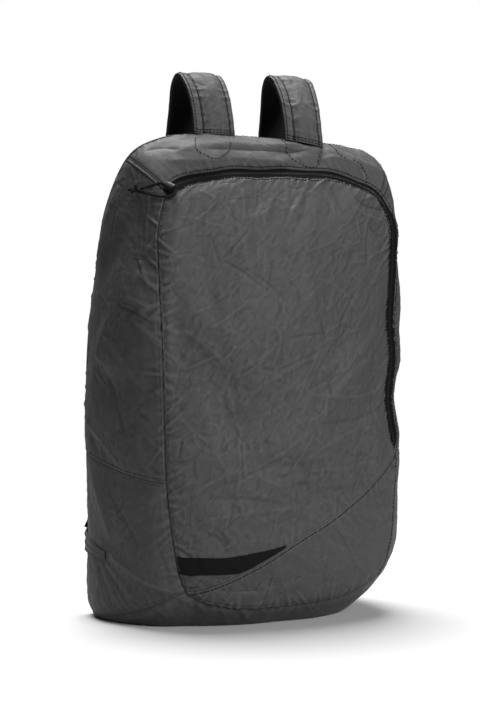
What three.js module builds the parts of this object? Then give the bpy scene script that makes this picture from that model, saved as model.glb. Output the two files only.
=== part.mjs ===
import * as THREE from 'three';
import { mergeVertices } from 'three/addons/utils/BufferGeometryUtils.js';

// A packable daypack of thin crinkled nylon that stands on its base, with its zip closed.
// Millimetres, +Z up. The front faces -Y. X = 0 is the middle of the front panel, Y = 0 is the
// plane of the seam that the shoulder straps are sewn into, and Z = 0 is the floor.

// Body.
const HEIGHT = 444;
const FRONT_WIDTH = 240;
const BACK_WIDTH = 276;
const DEPTH = 150;
const FRONT_SWELL = 19;
const BACK_SWELL = 7;
const FABRIC = 1.5;
const SEAM_GAP = 0.3;
const BACK_SEAM_GAP = 1.0;

// Zip.
const ZIP_WIDTH = 13;
const TAPE_THICKNESS = 1.0;
const COIL_WIDTH = 3.2;
const COIL_HEIGHT = 2.0;
const SLIDER_LENGTH = 12;
const SLIDER_WIDTH = 7.5;
const SLIDER_HEIGHT = 6.2;
const SLIDER_PLATE = 1.4;
const PULL_HOLE_RADIUS = 1.7;
const CORD_DIAMETER = 2.6;
const KNOT_DIAMETER = 8.6;
const KNOT_LENGTH = 8.5;
const KNOT_TAIL = 5;

// Black band on the front.
const BAND_THICKNESS = 0.7;

// Shoulder straps.
const STRAP_WIDTH = 43;
const STRAP_COVER = 1.5;
const STRAP_MESH = 1.8;
const STRAP_SPACING = 95.5;
const STRAP_SHIFT = 7;
const STRAP_ARCH = 60;
const STRAP_ARCH_UNEVEN = 2.5;
const STRAP_FLARE = 30;
const STRAP_SEAT = 0.9;
const BUCKLE_WIDTH = 32;
const BUCKLE_LENGTH = 24;
const BUCKLE_THICKNESS = 3;
const BUCKLE_BAR = 4.5;
const WEBBING_WIDTH = 20;
const WEBBING_THICKNESS = 1.4;
const WEBBING_SEAT = 1.4;
const TAB_THICKNESS = 1.0;
const TAB_CLEAR = 0.8;

// How finely the cloth is divided.
const COLUMNS = 24;
const ROWS = 28;
const LOW_ROWS = 8;
const WRAP_STEPS = 7;
const BACK_EDGE_STEPS = 4;
const BACK_MIDDLE_STEPS = 5;

function table(columns, rows) {
  const names = columns.split(' ');
  return rows.map((row) => Object.fromEntries(names.map((name, k) => [name, row[k]])));
}

// The two seam loops, seen from the front: up the left side, over the top, down the right side and
// back along the bottom. Each row is a station on both loops, and the cloth between the two
// points swells outwards. X is a share of half the panel's width, Y and swell of DEPTH, Z of HEIGHT.
const STATIONS = table('frontX frontY frontZ backX backY backZ swell', [
  [-0.783, -0.367, 0.078, -0.950, 0.493, 0.016, 0.155],
  [-0.892, -0.387, 0.169, -0.957, 0.513, 0.176, 0.133],
  [-0.958, -0.400, 0.292, -0.968, 0.520, 0.352, 0.127],
  [-0.975, -0.400, 0.417, -0.975, 0.513, 0.468, 0.127],
  [-0.992, -0.400, 0.561, -0.964, 0.493, 0.599, 0.120],
  [-1.000, -0.367, 0.694, -0.933, 0.440, 0.725, 0.105],
  [-0.975, -0.313, 0.795, -0.928, 0.307, 0.845, 0.080],
  [-0.858, -0.267, 0.869, -0.868, 0.093, 0.945, 0.060],
  [-0.650, -0.253, 0.896, -0.688, 0.013, 0.984, 0.050],
  [-0.375, -0.253, 0.910, -0.420, 0.000, 0.998, 0.060],
  [-0.083, -0.247, 0.916, -0.130, 0.000, 1.000, 0.060],
  [0.208, -0.247, 0.919, 0.174, 0.000, 1.000, 0.060],
  [0.500, -0.253, 0.919, 0.464, 0.000, 0.998, 0.060],
  [0.750, -0.260, 0.905, 0.739, 0.007, 0.993, 0.060],
  [0.933, -0.280, 0.878, 0.957, 0.053, 0.972, 0.065],
  [1.025, -0.320, 0.818, 1.000, 0.267, 0.863, 0.087],
  [0.980, -0.373, 0.723, 1.000, 0.413, 0.739, 0.120],
  [0.942, -0.393, 0.626, 0.993, 0.480, 0.637, 0.137],
  [0.955, -0.400, 0.538, 0.986, 0.507, 0.547, 0.140],
  [0.922, -0.400, 0.446, 0.986, 0.513, 0.453, 0.143],
  [0.985, -0.400, 0.345, 1.000, 0.520, 0.349, 0.147],
  [0.975, -0.400, 0.241, 1.007, 0.513, 0.241, 0.140],
  [0.950, -0.393, 0.151, 1.007, 0.507, 0.131, 0.127],
  [0.850, -0.387, 0.093, 0.942, 0.493, 0.020, 0.073],
  [0.617, -0.420, 0.059, 0.725, 0.513, 0.009, 0.120],
  [0.333, -0.460, 0.046, 0.348, 0.513, 0.009, 0.150],
  [0.000, -0.467, 0.041, 0.000, 0.513, 0.009, 0.150],
  [-0.292, -0.460, 0.039, -0.348, 0.513, 0.009, 0.150],
  [-0.567, -0.420, 0.048, -0.710, 0.513, 0.009, 0.150],
]);
const BOTTOM_LEFT = 0;
const SIDE_SEAM_LEFT = 2;
const TOP_LEFT = 7;
const TOP_RIGHT = 14;
const ZIP_END = 20;
const BOTTOM_RIGHT = 23;
const LAST = STATIONS.length;

const Y_AXIS = new THREE.Vector3(0, 1, 0);
const vec = (x, y, z) => new THREE.Vector3(x, y, z);
const mix = (a, b, share) => a + (b - a) * share;
const along = (point, direction, distance) => point.clone().addScaledVector(direction, distance);

function smooth(edge0, edge1, value) {
  const t = Math.min(1, Math.max(0, (value - edge0) / (edge1 - edge0)));
  return t * t * (3 - 2 * t);
}

// Seam loops.
const frontLoop = new THREE.CatmullRomCurve3(
  STATIONS.map((row) => vec(row.frontX * FRONT_WIDTH / 2, row.frontY * DEPTH, row.frontZ * HEIGHT)),
  true, 'catmullrom', 0.5);
const backLoop = new THREE.CatmullRomCurve3(
  STATIONS.map((row) => vec(row.backX * BACK_WIDTH / 2, row.backY * DEPTH, row.backZ * HEIGHT)),
  true, 'catmullrom', 0.5);
const swellLoop = new THREE.CatmullRomCurve3(
  STATIONS.map((row) => vec(row.swell * DEPTH, 0, 0)), true, 'catmullrom', 0.5);

const wrap = (station) => (((station % LAST) + LAST) % LAST) / LAST;
const loopPoint = (loop, station) => loop.getPoint(wrap(station));
const SLOPE_STEP = 0.02;

function loopTangent(loop, station) {
  return loopPoint(loop, station + SLOPE_STEP).sub(loopPoint(loop, station - SLOPE_STEP)).normalize();
}

// At a seam both panels turn their edges the same way, half between the two faces that meet. Down
// the right side the zip turns further to the front, as the stuffed front pulls it over.
// facing is -1 at the front seam and 1 at the back seam.
const ZIP_SIDE_TURN = 0.5;
function seamNormal(loop, station, facing) {
  const sideways = loopTangent(loop, station).cross(Y_AXIS).normalize();
  const turned = smooth(TOP_RIGHT - 1, TOP_RIGHT + 1, station) * smooth(BOTTOM_RIGHT, ZIP_END, station);
  if (facing < 0) sideways.multiplyScalar(mix(1, ZIP_SIDE_TURN, turned));
  return along(sideways, Y_AXIS, facing).normalize();
}

function intoPanel(loop, station, facing) {
  const across = loopTangent(loop, station).cross(seamNormal(loop, station, facing)).normalize();
  return across.multiplyScalar(-facing);
}

// The zip lies along the front seam, from the top left corner over the top and down the right side.
const ZIP_OPENS = 0.30;
function zipShare(station) {
  const opening = smooth(TOP_LEFT - ZIP_OPENS, TOP_LEFT + ZIP_OPENS, station);
  return opening * smooth(ZIP_END, ZIP_END - ZIP_OPENS, station);
}
const zipHalf = (station) => mix(SEAM_GAP, ZIP_WIDTH, zipShare(((station % LAST) + LAST) % LAST)) / 2;

const panelEdge = (station) => along(
  loopPoint(frontLoop, station), intoPanel(frontLoop, station, -1), zipHalf(station));
const wrapEdge = (station) => along(
  loopPoint(frontLoop, station), intoPanel(frontLoop, station, -1), -zipHalf(station));

// The main folds and dents. Each is a ridge, or a valley where rise is below zero, between two
// points of a panel. Places are shares across and up the panel, width is a share of FRONT_WIDTH,
// and rise of DEPTH.
const FRONT_FOLDS = table('fromX fromZ toX toZ width rise', [
  [0.16, 0.93, 0.22, 0.66, 0.060, -0.028],
  [0.28, 0.95, 0.33, 0.74, 0.045, 0.022],
  [0.38, 0.96, 0.40, 0.78, 0.040, -0.022],
  [0.52, 0.94, 0.56, 0.62, 0.070, 0.026],
  [0.70, 0.95, 0.62, 0.58, 0.060, -0.028],
  [0.84, 0.93, 0.95, 0.86, 0.050, -0.034],
  [0.82, 0.86, 0.93, 0.74, 0.060, 0.022],
  [0.06, 0.72, 0.34, 0.52, 0.070, 0.026],
  [0.08, 0.60, 0.30, 0.40, 0.060, -0.024],
  [0.42, 0.62, 0.72, 0.50, 0.060, 0.020],
  [0.50, 0.48, 0.86, 0.62, 0.070, -0.022],
  [0.10, 0.36, 0.36, 0.30, 0.060, 0.026],
  [0.16, 0.22, 0.44, 0.34, 0.070, -0.022],
  [0.40, 0.40, 0.70, 0.30, 0.070, 0.020],
  [0.60, 0.22, 0.92, 0.44, 0.060, 0.018],
  [0.86, 0.60, 0.92, 0.40, 0.050, -0.020],
  [0.40, 0.05, 0.78, 0.08, 0.060, 0.016],
]);
const SIDE_FOLDS = table('fromX fromZ toX toZ width rise', [
  [0.20, 0.90, 0.60, 0.72, 0.070, -0.022],
  [0.15, 0.70, 0.55, 0.55, 0.080, 0.018],
  [0.20, 0.50, 0.80, 0.42, 0.070, -0.020],
  [0.10, 0.10, 0.60, 0.22, 0.070, 0.020],
  [0.25, 0.26, 0.70, 0.32, 0.060, -0.016],
]);
const TOP_FOLDS = table('fromX fromZ toX toZ width rise', [
  [0.18, 0.45, 0.62, 0.55, 0.040, 0.034],
  [0.60, 0.55, 0.92, 0.40, 0.045, 0.040],
  [0.52, 0.25, 0.72, 0.75, 0.040, -0.034],
  [0.08, 0.70, 0.30, 0.72, 0.035, -0.026],
]);

// How far the folds lift the cloth at (x, z) of a panel with the given sizes, nothing at its edges.
const FOLD_MARGIN = 14;
function relief(folds, x, z, width, height) {
  let lift = 0;
  for (const fold of folds) {
    const runX = (fold.toX - fold.fromX) * width;
    const runZ = (fold.toZ - fold.fromZ) * height;
    const offX = (x - fold.fromX) * width;
    const offZ = (z - fold.fromZ) * height;
    const share = Math.min(1, Math.max(0, (offX * runX + offZ * runZ) / (runX ** 2 + runZ ** 2)));
    const away = Math.hypot(offX - share * runX, offZ - share * runZ) / (fold.width * FRONT_WIDTH);
    lift += fold.rise * DEPTH * Math.exp(-(away ** 2));
  }
  return lift * FOLD_MARGIN ** 2 * x * (1 - x) * z * (1 - z)
    / (1 + FOLD_MARGIN ** 2 * x * (1 - x) * z * (1 - z));
}

// A patch between four edges, swelling in the middle.
function patchPoint(edges, x, leftZ, rightZ) {
  const z = mix(leftZ, rightZ, x);
  const point = vec(0, 0, 0);
  point.addScaledVector(edges.left(leftZ), 1 - x).addScaledVector(edges.right(rightZ), x);
  point.addScaledVector(edges.low(x), 1 - z).addScaledVector(edges.high(x), z);
  point.addScaledVector(edges.low(0), -(1 - x) * (1 - z)).addScaledVector(edges.low(1), -x * (1 - z));
  return point.addScaledVector(edges.high(0), -(1 - x) * z).addScaledVector(edges.high(1), -x * z);
}
const pillow = (x, z) => 16 * x * (1 - x) * z * (1 - z);

const leftStation = (z) => mix(BOTTOM_LEFT, TOP_LEFT, z);
const rightStation = (z) => mix(BOTTOM_RIGHT, TOP_RIGHT, z);
const topStation = (x) => mix(TOP_LEFT, TOP_RIGHT, x);
const bottomStation = (x) => mix(LAST, BOTTOM_RIGHT, x);

const frontEdges = {
  left: (z) => panelEdge(leftStation(z)),
  right: (z) => panelEdge(rightStation(z)),
  low: (x) => panelEdge(bottomStation(x)),
  high: (x) => panelEdge(topStation(x)),
};
function frontPoint(x, z) {
  const point = patchPoint(frontEdges, x, z, z);
  const lift = relief(FRONT_FOLDS, x, z, FRONT_WIDTH, HEIGHT);
  return along(point, Y_AXIS, -FRONT_SWELL * pillow(x, z) ** 0.75 - lift);
}

const backEdge = (station) => along(
  loopPoint(backLoop, station), intoPanel(backLoop, station, 1), BACK_SEAM_GAP);
const backEdges = {
  left: (z) => backEdge(leftStation(z)),
  right: (z) => backEdge(rightStation(z)),
  low: (x) => backEdge(bottomStation(x)),
  high: (x) => backEdge(topStation(x)),
};
function backPoint(x, leftZ, rightZ) {
  const swell = BACK_SWELL * pillow(x, mix(leftZ, rightZ, x));
  return along(patchPoint(backEdges, x, leftZ, rightZ), Y_AXIS, swell);
}

// The cloth that wraps round the bag between the two seam loops: sides, top and bottom.
// depth is 0 at the front seam and 1 at the back seam.
const SWELL_POWER = 2.6;
function wrapPoint(station, depth) {
  const start = wrapEdge(station);
  const end = loopPoint(backLoop, station);
  const chord = end.clone().sub(start);
  const tangent = loopTangent(frontLoop, station).add(loopTangent(backLoop, station)).normalize();
  const outwards = tangent.cross(chord).normalize();
  const shape = 1 - Math.abs(2 * depth - 1) ** SWELL_POWER;
  const swell = swellLoop.getPoint(wrap(station)).x * shape + wrapRelief(station, depth);
  const point = along(start.lerp(end, depth), outwards, swell);
  point.z = Math.max(0, point.z);
  return point;
}

function wrapRelief(station, depth) {
  const side = HEIGHT;
  if (station > TOP_LEFT && station < TOP_RIGHT) {
    return relief(TOP_FOLDS, (station - TOP_LEFT) / (TOP_RIGHT - TOP_LEFT), depth, FRONT_WIDTH, DEPTH / 2);
  }
  if (station > BOTTOM_LEFT && station < TOP_LEFT) {
    return relief(SIDE_FOLDS, depth, (station - BOTTOM_LEFT) / (TOP_LEFT - BOTTOM_LEFT), DEPTH, side);
  }
  if (station > TOP_RIGHT && station < BOTTOM_RIGHT) {
    const height = (BOTTOM_RIGHT - station) / (BOTTOM_RIGHT - TOP_RIGHT);
    return relief(SIDE_FOLDS, depth, height, DEPTH, side);
  }
  return 0;
}

// The direction straight out of the cloth at (a, b) of a surface.
const NORMAL_STEP = 0.01;
function normalOf(surface, a, b, stepA, stepB) {
  const overA = surface(a + stepA, b).sub(surface(a - stepA, b));
  const overB = surface(a, b + stepB).sub(surface(a, b - stepB));
  return overA.cross(overB).normalize();
}
const frontNormal = (x, z) => {
  const px = Math.min(1 - NORMAL_STEP, Math.max(NORMAL_STEP, x));
  const pz = Math.min(1 - NORMAL_STEP, Math.max(NORMAL_STEP, z));
  return normalOf(frontPoint, px, pz, NORMAL_STEP, NORMAL_STEP);
};
const wrapNormal = (station, depth) => {
  const within = Math.min(1 - NORMAL_STEP, Math.max(NORMAL_STEP, depth));
  return normalOf(wrapPoint, station, within, SLOPE_STEP, NORMAL_STEP);
};

// Closed solids.
function solid(points, faces) {
  const geometry = new THREE.BufferGeometry();
  geometry.setAttribute('position', new THREE.Float32BufferAttribute(points.flatMap((p) => p.toArray()), 3));
  geometry.setIndex(faces.flat());
  return geometry;
}

// A sheet of cloth from a grid of outer points and a grid of inner points, both [column][row].
function sheetSolid(outer, inner) {
  const columns = outer.length;
  const rows = outer[0].length;
  const faces = [];
  const outerAt = (i, j) => i * rows + j;
  const innerAt = (i, j) => columns * rows + i * rows + j;
  const quad = (a, b, c, d) => faces.push([a, b, c], [a, c, d]);
  for (let i = 0; i + 1 < columns; i += 1) {
    for (let j = 0; j + 1 < rows; j += 1) {
      quad(outerAt(i, j), outerAt(i + 1, j), outerAt(i + 1, j + 1), outerAt(i, j + 1));
      quad(innerAt(i, j), innerAt(i, j + 1), innerAt(i + 1, j + 1), innerAt(i + 1, j));
    }
    const top = rows - 1;
    quad(outerAt(i, 0), innerAt(i, 0), innerAt(i + 1, 0), outerAt(i + 1, 0));
    quad(outerAt(i + 1, top), innerAt(i + 1, top), innerAt(i, top), outerAt(i, top));
  }
  for (let j = 0; j + 1 < rows; j += 1) {
    const end = columns - 1;
    quad(outerAt(0, j + 1), innerAt(0, j + 1), innerAt(0, j), outerAt(0, j));
    quad(outerAt(end, j), innerAt(end, j), innerAt(end, j + 1), outerAt(end, j + 1));
  }
  return solid([...outer.flat(), ...inner.flat()], faces);
}

// Draws the edge points of a grid back from a seam: open names the edges that keep the gap.
function drawBack(grid, open, gap) {
  const last = grid.length - 1;
  const top = grid[0].length - 1;
  const pull = (point, towards) => point.add(towards.clone().sub(point).setLength(gap));
  if (open.includes('first')) grid[0].forEach((point, j) => pull(point, grid[1][j]));
  if (open.includes('last')) grid[last].forEach((point, j) => pull(point, grid[last - 1][j]));
  if (open.includes('low')) grid.forEach((column) => pull(column[0], column[1]));
  if (open.includes('high')) grid.forEach((column) => pull(column[top], column[top - 1]));
}

// A cloth panel with its outer face on the surface and its thickness inwards.
function clothPanel(aValues, bValues, pointAt, normalAt, open, thickness = FABRIC, proud = 0) {
  const cell = (make) => aValues.map((a) => bValues.map((b) => make(a, b)));
  const normals = cell(normalAt);
  const outer = cell(pointAt);
  drawBack(outer, open, SEAM_GAP / 2);
  const shifted = (distance) => outer.map(
    (column, i) => column.map((point, j) => along(point, normals[i][j], distance)));
  return sheetSolid(shifted(proud), shifted(proud - thickness));
}

const steps = (count, from = 0, to = 1) => Array.from(
  { length: count + 1 }, (_, k) => mix(from, to, k / count));

const parts = new THREE.Group();
function add(name, geometry, material) {
  const mesh = new THREE.Mesh(geometry, material);
  mesh.name = name;
  parts.add(mesh);
  return mesh;
}

const finish = (color, roughness, metalness = 0) => new THREE.MeshStandardMaterial({ color, roughness, metalness });
const nylon = finish(0x5c5c5c, 0.6);
const blackTape = finish(0x1c1c1d, 0.8);
const blackBand = finish(0x202022, 0.45);
const blackMesh = finish(0x161617, 0.9);
const blackPlastic = finish(0x18181a, 0.4);
const darkMetal = finish(0x2a2a2c, 0.35, 0.8);

// Front: the seam that rises from the lower left corner to the end of the zip parts it in two.
const TIP = 0.006;
const SEAM_RISE = (BOTTOM_RIGHT - ZIP_END) / (BOTTOM_RIGHT - TOP_RIGHT);
const SEAM_BEND = 0.92;
const risingSeam = (x) => mix(TIP, SEAM_RISE, x ** SEAM_BEND);

const onFront = (x, z) => {
  if (z <= 0) return seamNormal(frontLoop, bottomStation(x), -1);
  if (z >= 1) return seamNormal(frontLoop, topStation(x), -1);
  if (x <= 0) return seamNormal(frontLoop, leftStation(z), -1);
  if (x >= 1) return seamNormal(frontLoop, rightStation(z), -1);
  return frontNormal(x, z);
};
const upperZ = (x, share) => mix(risingSeam(x), 1, share);
const lowerZ = (x, share) => risingSeam(x) * share;
add('front_panel', clothPanel(
  steps(COLUMNS), steps(ROWS),
  (x, share) => frontPoint(x, upperZ(x, share)), (x, share) => onFront(x, upperZ(x, share)), ['low']),
nylon);
add('front_lower_panel', clothPanel(
  steps(COLUMNS), steps(LOW_ROWS),
  (x, share) => frontPoint(x, lowerZ(x, share)), (x, share) => onFront(x, lowerZ(x, share)), ['high']),
nylon);

// Sides, top and bottom. Depth steps crowd towards the seams, where the cloth turns fastest.
const depths = steps(WRAP_STEPS).map((t) => mix(t, (1 - Math.cos(Math.PI * t)) / 2, 0.6));
const onWrap = (station, depth) => {
  if (depth <= 0) return seamNormal(frontLoop, station, -1);
  if (depth >= 1) return seamNormal(backLoop, station, 1);
  return wrapNormal(station, depth);
};
function wrapPanel(name, stations) {
  add(name, clothPanel(stations, depths, wrapPoint, onWrap, ['first', 'last', 'high']), nylon);
}
const leftStations = steps(ROWS).map((share) => leftStation(upperZ(0, share)));
leftStations[0] = BOTTOM_LEFT;
const seamRow = ROWS * SIDE_SEAM_LEFT / TOP_LEFT;
wrapPanel('side_panel_left_lower', leftStations.slice(0, seamRow + 1));
wrapPanel('side_panel_left', leftStations.slice(seamRow));
const topStations = steps(COLUMNS).map(topStation);
const rightStations = steps(ROWS).map((share) => rightStation(upperZ(1, 1 - share)));
wrapPanel('top_panel', topStations);
wrapPanel('side_panel_right', rightStations);
wrapPanel('side_panel_right_lower', steps(LOW_ROWS).map((share) => rightStation(lowerZ(1, 1 - share))));
wrapPanel('bottom_panel', steps(COLUMNS).map((x) => bottomStation(1 - x)));

// Back: fine steps near the corners, long ones between, on the same stations as the sides.
function sparse(values) {
  const count = values.length - 1;
  const middle = steps(BACK_MIDDLE_STEPS, BACK_EDGE_STEPS, count - BACK_EDGE_STEPS).map(Math.round);
  const ends = steps(BACK_EDGE_STEPS - 1, 0, BACK_EDGE_STEPS - 1);
  return [...ends, ...middle, ...ends.map((k) => count - k).reverse()].map((k) => values[k]);
}
const rightHeights = [
  ...steps(LOW_ROWS).map((share) => lowerZ(1, share)),
  ...steps(ROWS).slice(1).map((share) => upperZ(1, share)),
];
const backX = sparse(steps(COLUMNS));
const backLeft = sparse(leftStations.map((station) => station / TOP_LEFT));
const backRight = sparse(rightHeights);
function onBack(x, leftZ, rightZ) {
  if (leftZ <= 0) return seamNormal(backLoop, bottomStation(x), 1);
  if (leftZ >= 1) return seamNormal(backLoop, topStation(x), 1);
  if (x <= 0) return seamNormal(backLoop, leftStation(leftZ), 1);
  if (x >= 1) return seamNormal(backLoop, rightStation(rightZ), 1);
  const overX = backPoint(x + NORMAL_STEP, leftZ, rightZ).sub(backPoint(x - NORMAL_STEP, leftZ, rightZ));
  const overZ = backPoint(x, leftZ + NORMAL_STEP, rightZ + NORMAL_STEP)
    .sub(backPoint(x, leftZ - NORMAL_STEP, rightZ - NORMAL_STEP));
  return overZ.cross(overX).normalize();
}
add('back_panel', clothPanel(
  [...backX].reverse(), backLeft.map((_, row) => row),
  (x, row) => backPoint(x, backLeft[row], backRight[row]),
  (x, row) => onBack(x, backLeft[row], backRight[row]), []), nylon);

// The black band lies on the front panel, sewn into the left seam and cut off by the rising seam.
const BAND_CLEAR = 0.004;
const BAND = table('x low high', [
  [0.006, 0.070, 0.122],
  [0.100, 0.090, 0.139],
  [0.200, 0.104, 0.148],
  [0.290, 0.112, 0.157],
  [0.370, 0.118, 0.165],
  [0.460, 0.122, 0.174],
]);
const bandCurve = new THREE.CatmullRomCurve3(
  BAND.map((row) => vec(row.x, row.low, row.high)), false, 'catmullrom', 0.5);
function bandPlace(share, across) {
  const row = bandCurve.getPoint(share);
  return [row.x, mix(Math.max(row.y, risingSeam(row.x) + BAND_CLEAR), row.z, across)];
}
add('accent_band', clothPanel(
  steps(3 * (BAND.length - 1)), steps(2),
  (share, across) => frontPoint(...bandPlace(share, across)),
  (share, across) => frontNormal(...bandPlace(share, across)), [],
  BAND_THICKNESS, SEAM_GAP + BAND_THICKNESS), blackBand);

// A solid swept through sections: each section is a ring of points, all of one length. The two
// halves of the ring are split along matching diagonals, so that twisted strips lie flat on each other.
function sweptSolid(sections) {
  const count = sections[0].length;
  const faces = [];
  for (let k = 0; k + 1 < sections.length; k += 1) {
    for (let m = 0; m < count; m += 1) {
      const next = (m + 1) % count;
      const [a, b] = [k * count + m, k * count + next];
      if (m < count / 2) faces.push([a, b, b + count], [a, b + count, a + count]);
      else faces.push([a, b, a + count], [b, b + count, a + count]);
    }
  }
  const end = (sections.length - 1) * count;
  for (let m = 1; m + 1 < count; m += 1) {
    faces.push([0, m + 1, m], [end, end + m, end + m + 1]);
  }
  return solid(sections.flat(), faces);
}

// Zip: two tapes and the coil between them. A section is given across the zip and above its plane.
const TAPE_TOP = -0.2;
function zipPoint(station, across, above) {
  const point = along(loopPoint(frontLoop, station), intoPanel(frontLoop, station, -1), across);
  return along(point, seamNormal(frontLoop, station, -1), above);
}
const tapeSection = (side) => (station) => {
  const near = side * (COIL_WIDTH / 2 + SEAM_GAP);
  const far = side * (zipHalf(station) - SEAM_GAP);
  const [low, high] = [Math.min(near, far), Math.max(near, far)];
  return [[low, TAPE_TOP - TAPE_THICKNESS], [low, TAPE_TOP], [high, TAPE_TOP], [high, TAPE_TOP - TAPE_THICKNESS]]
    .map(([across, above]) => zipPoint(station, across, above));
};
const COIL_SIDES = 6;
const coilSection = (station) => steps(COIL_SIDES, 0, 2 * Math.PI).slice(1).map((angle) => zipPoint(
  station, -Math.cos(angle) * COIL_WIDTH / 2, Math.sin(angle) * COIL_HEIGHT / 2));
const tapeStations = [...topStations, ...rightStations.slice(1)].filter(
  (station) => zipHalf(station) > COIL_WIDTH / 2 + 3 * SEAM_GAP);
add('zip_tape_inner', sweptSolid(tapeStations.map(tapeSection(1))), blackTape);
add('zip_tape_outer', sweptSolid(tapeStations.map(tapeSection(-1))), blackTape);
add('zip_coil', sweptSolid(tapeStations.map(coilSection)), blackTape);

// Slider, drawn from the side and extruded across the zip, with a hole that the pull cord runs through.
const SLIDER_AT = TOP_LEFT + 0.05;
const SLIDER_SEAT = COIL_HEIGHT / 2 + SEAM_GAP;
const HOLE_HEIGHT = SLIDER_PLATE + PULL_HOLE_RADIUS + 0.3;
const BRIDGE_LENGTH = 0.7 * SLIDER_LENGTH;

function welded(geometry) {
  geometry.deleteAttribute('normal');
  geometry.deleteAttribute('uv');
  return mergeVertices(geometry, 0.0001);
}

function sliderGeometry() {
  const half = SLIDER_LENGTH / 2;
  const bridge = BRIDGE_LENGTH / 2;
  const shape = new THREE.Shape();
  shape.moveTo(-half, 0);
  shape.lineTo(half, 0);
  shape.lineTo(half, SLIDER_PLATE);
  shape.lineTo(bridge, SLIDER_PLATE);
  shape.bezierCurveTo(bridge, SLIDER_HEIGHT, bridge / 2, SLIDER_HEIGHT, 0, SLIDER_HEIGHT);
  shape.bezierCurveTo(-bridge / 2, SLIDER_HEIGHT, -bridge, SLIDER_HEIGHT, -bridge, SLIDER_PLATE);
  shape.lineTo(-half, SLIDER_PLATE);
  shape.closePath();
  const hole = new THREE.Path();
  hole.absarc(0, HOLE_HEIGHT, PULL_HOLE_RADIUS, 0, 2 * Math.PI, true);
  shape.holes.push(hole);
  const geometry = new THREE.ExtrudeGeometry(
    shape, { depth: SLIDER_WIDTH, bevelEnabled: false, curveSegments: 8 });
  return welded(geometry.translate(0, 0, -SLIDER_WIDTH / 2));
}
const zipAlong = loopTangent(frontLoop, SLIDER_AT);
const zipUp = seamNormal(frontLoop, SLIDER_AT, -1);
const slider = add('zip_slider', sliderGeometry(), darkMetal);
slider.setRotationFromMatrix(new THREE.Matrix4().makeBasis(
  zipAlong, zipUp, intoPanel(frontLoop, SLIDER_AT, -1)));
slider.position.copy(zipPoint(SLIDER_AT, 0, SLIDER_SEAT));

// Pull cord: one short cord, doubled through the slider, with both ends tied in one knot.
const CORD_ROUTE = [
  [-125.7, -28.0, 388.0],
  [-122.3, -31.4, 389.2],
  [-117.0, -34.2, 391.2],
  [-112.0, -35.8, 392.8],
  [-108.7, -37.9, 392.4],
  [-106.4, -40.4, 390.7],
  [-104.3, -43.0, 389.1],
  [-102.1, -45.7, 387.6],
  [-101.2, -48.2, 385.2],
  [-102.6, -49.6, 382.2],
  [-106.4, -48.6, 380.5],
  [-111.5, -44.8, 380.3],
  [-117.0, -39.4, 381.6],
  [-121.9, -33.4, 383.7],
  [-125.7, -28.0, 385.3],
];
const CORD_SIDES = 8;
const CORD_STEPS = 26;
const KNOT_CENTRE = [-128.1, -23.3, 387.6];
const KNOT_AXIS = [-0.438, 0.876, 0.219];

function cordGeometry() {
  const corners = steps(CORD_SIDES, 0, 2 * Math.PI).slice(1);
  const radius = CORD_DIAMETER / 2;
  const shape = new THREE.Shape(
    corners.map((angle) => new THREE.Vector2(radius * Math.cos(angle), radius * Math.sin(angle))));
  const route = new THREE.CatmullRomCurve3(
    CORD_ROUTE.map((point) => vec(...point)), false, 'catmullrom', 0.5);
  return welded(new THREE.ExtrudeGeometry(shape, { steps: CORD_STEPS, extrudePath: route, bevelEnabled: false }));
}
add('pull_cord', cordGeometry(), blackTape);

function knotGeometry() {
  const half = KNOT_LENGTH / 2;
  const wide = KNOT_DIAMETER / 2;
  const tail = CORD_DIAMETER / 2;
  const profile = [
    [0, -half], [0.7 * wide, -half], [wide, -0.5 * half], [wide, 0.5 * half], [0.7 * wide, half],
    [tail, half], [tail, half + KNOT_TAIL], [0, half + KNOT_TAIL],
  ];
  return welded(new THREE.LatheGeometry(profile.map(([x, y]) => new THREE.Vector2(x, y)), 12));
}
const knot = add('cord_knot', knotGeometry(), blackTape);
knot.quaternion.setFromUnitVectors(Y_AXIS, vec(...KNOT_AXIS).normalize());
knot.position.set(...KNOT_CENTRE);

// Shoulder straps: cloth outside and mesh inside, from the top seam up, over and down the back.
// Shift is a share of STRAP_FLARE, Y of DEPTH, Z of HEIGHT, arch of STRAP_ARCH, width of STRAP_WIDTH.
const STRAP_PATH = table('shift y z arch width', [
  [0.00, 0.006, 1.000, 0.000, 1.00],
  [0.00, 0.032, 1.000, 0.350, 0.98],
  [0.00, 0.080, 1.000, 0.660, 0.98],
  [0.00, 0.150, 1.000, 0.890, 1.00],
  [0.00, 0.220, 1.000, 0.985, 1.02],
  [0.02, 0.275, 1.000, 0.850, 1.02],
  [0.03, 0.300, 1.000, 0.500, 1.02],
  [0.05, 0.345, 1.000, 0.000, 1.02],
  [0.12, 0.420, 0.900, 0.000, 1.04],
  [0.25, 0.510, 0.790, 0.000, 1.06],
  [0.45, 0.580, 0.670, 0.000, 1.06],
  [0.72, 0.600, 0.550, 0.000, 1.00],
  [1.00, 0.600, 0.450, 0.000, 0.82],
]);
const STRAP_STEPS = 26;
const X_AXIS = new THREE.Vector3(1, 0, 0);

const strapMiddle = (side) => STRAP_SHIFT + side * STRAP_SPACING / 2;
const strapCurve = (side) => new THREE.CatmullRomCurve3(STRAP_PATH.map((row, k) => vec(
  strapMiddle(side) + side * row.shift * STRAP_FLARE,
  row.y * DEPTH,
  row.z * HEIGHT + row.arch * (STRAP_ARCH + side * STRAP_ARCH_UNEVEN) + (k === 0 ? STRAP_SEAT : 0))),
false, 'catmullrom', 0.5);
const strapWidths = new THREE.CatmullRomCurve3(
  STRAP_PATH.map((row) => vec(row.width * STRAP_WIDTH, 0, 0)), false, 'catmullrom', 0.5);

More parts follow.
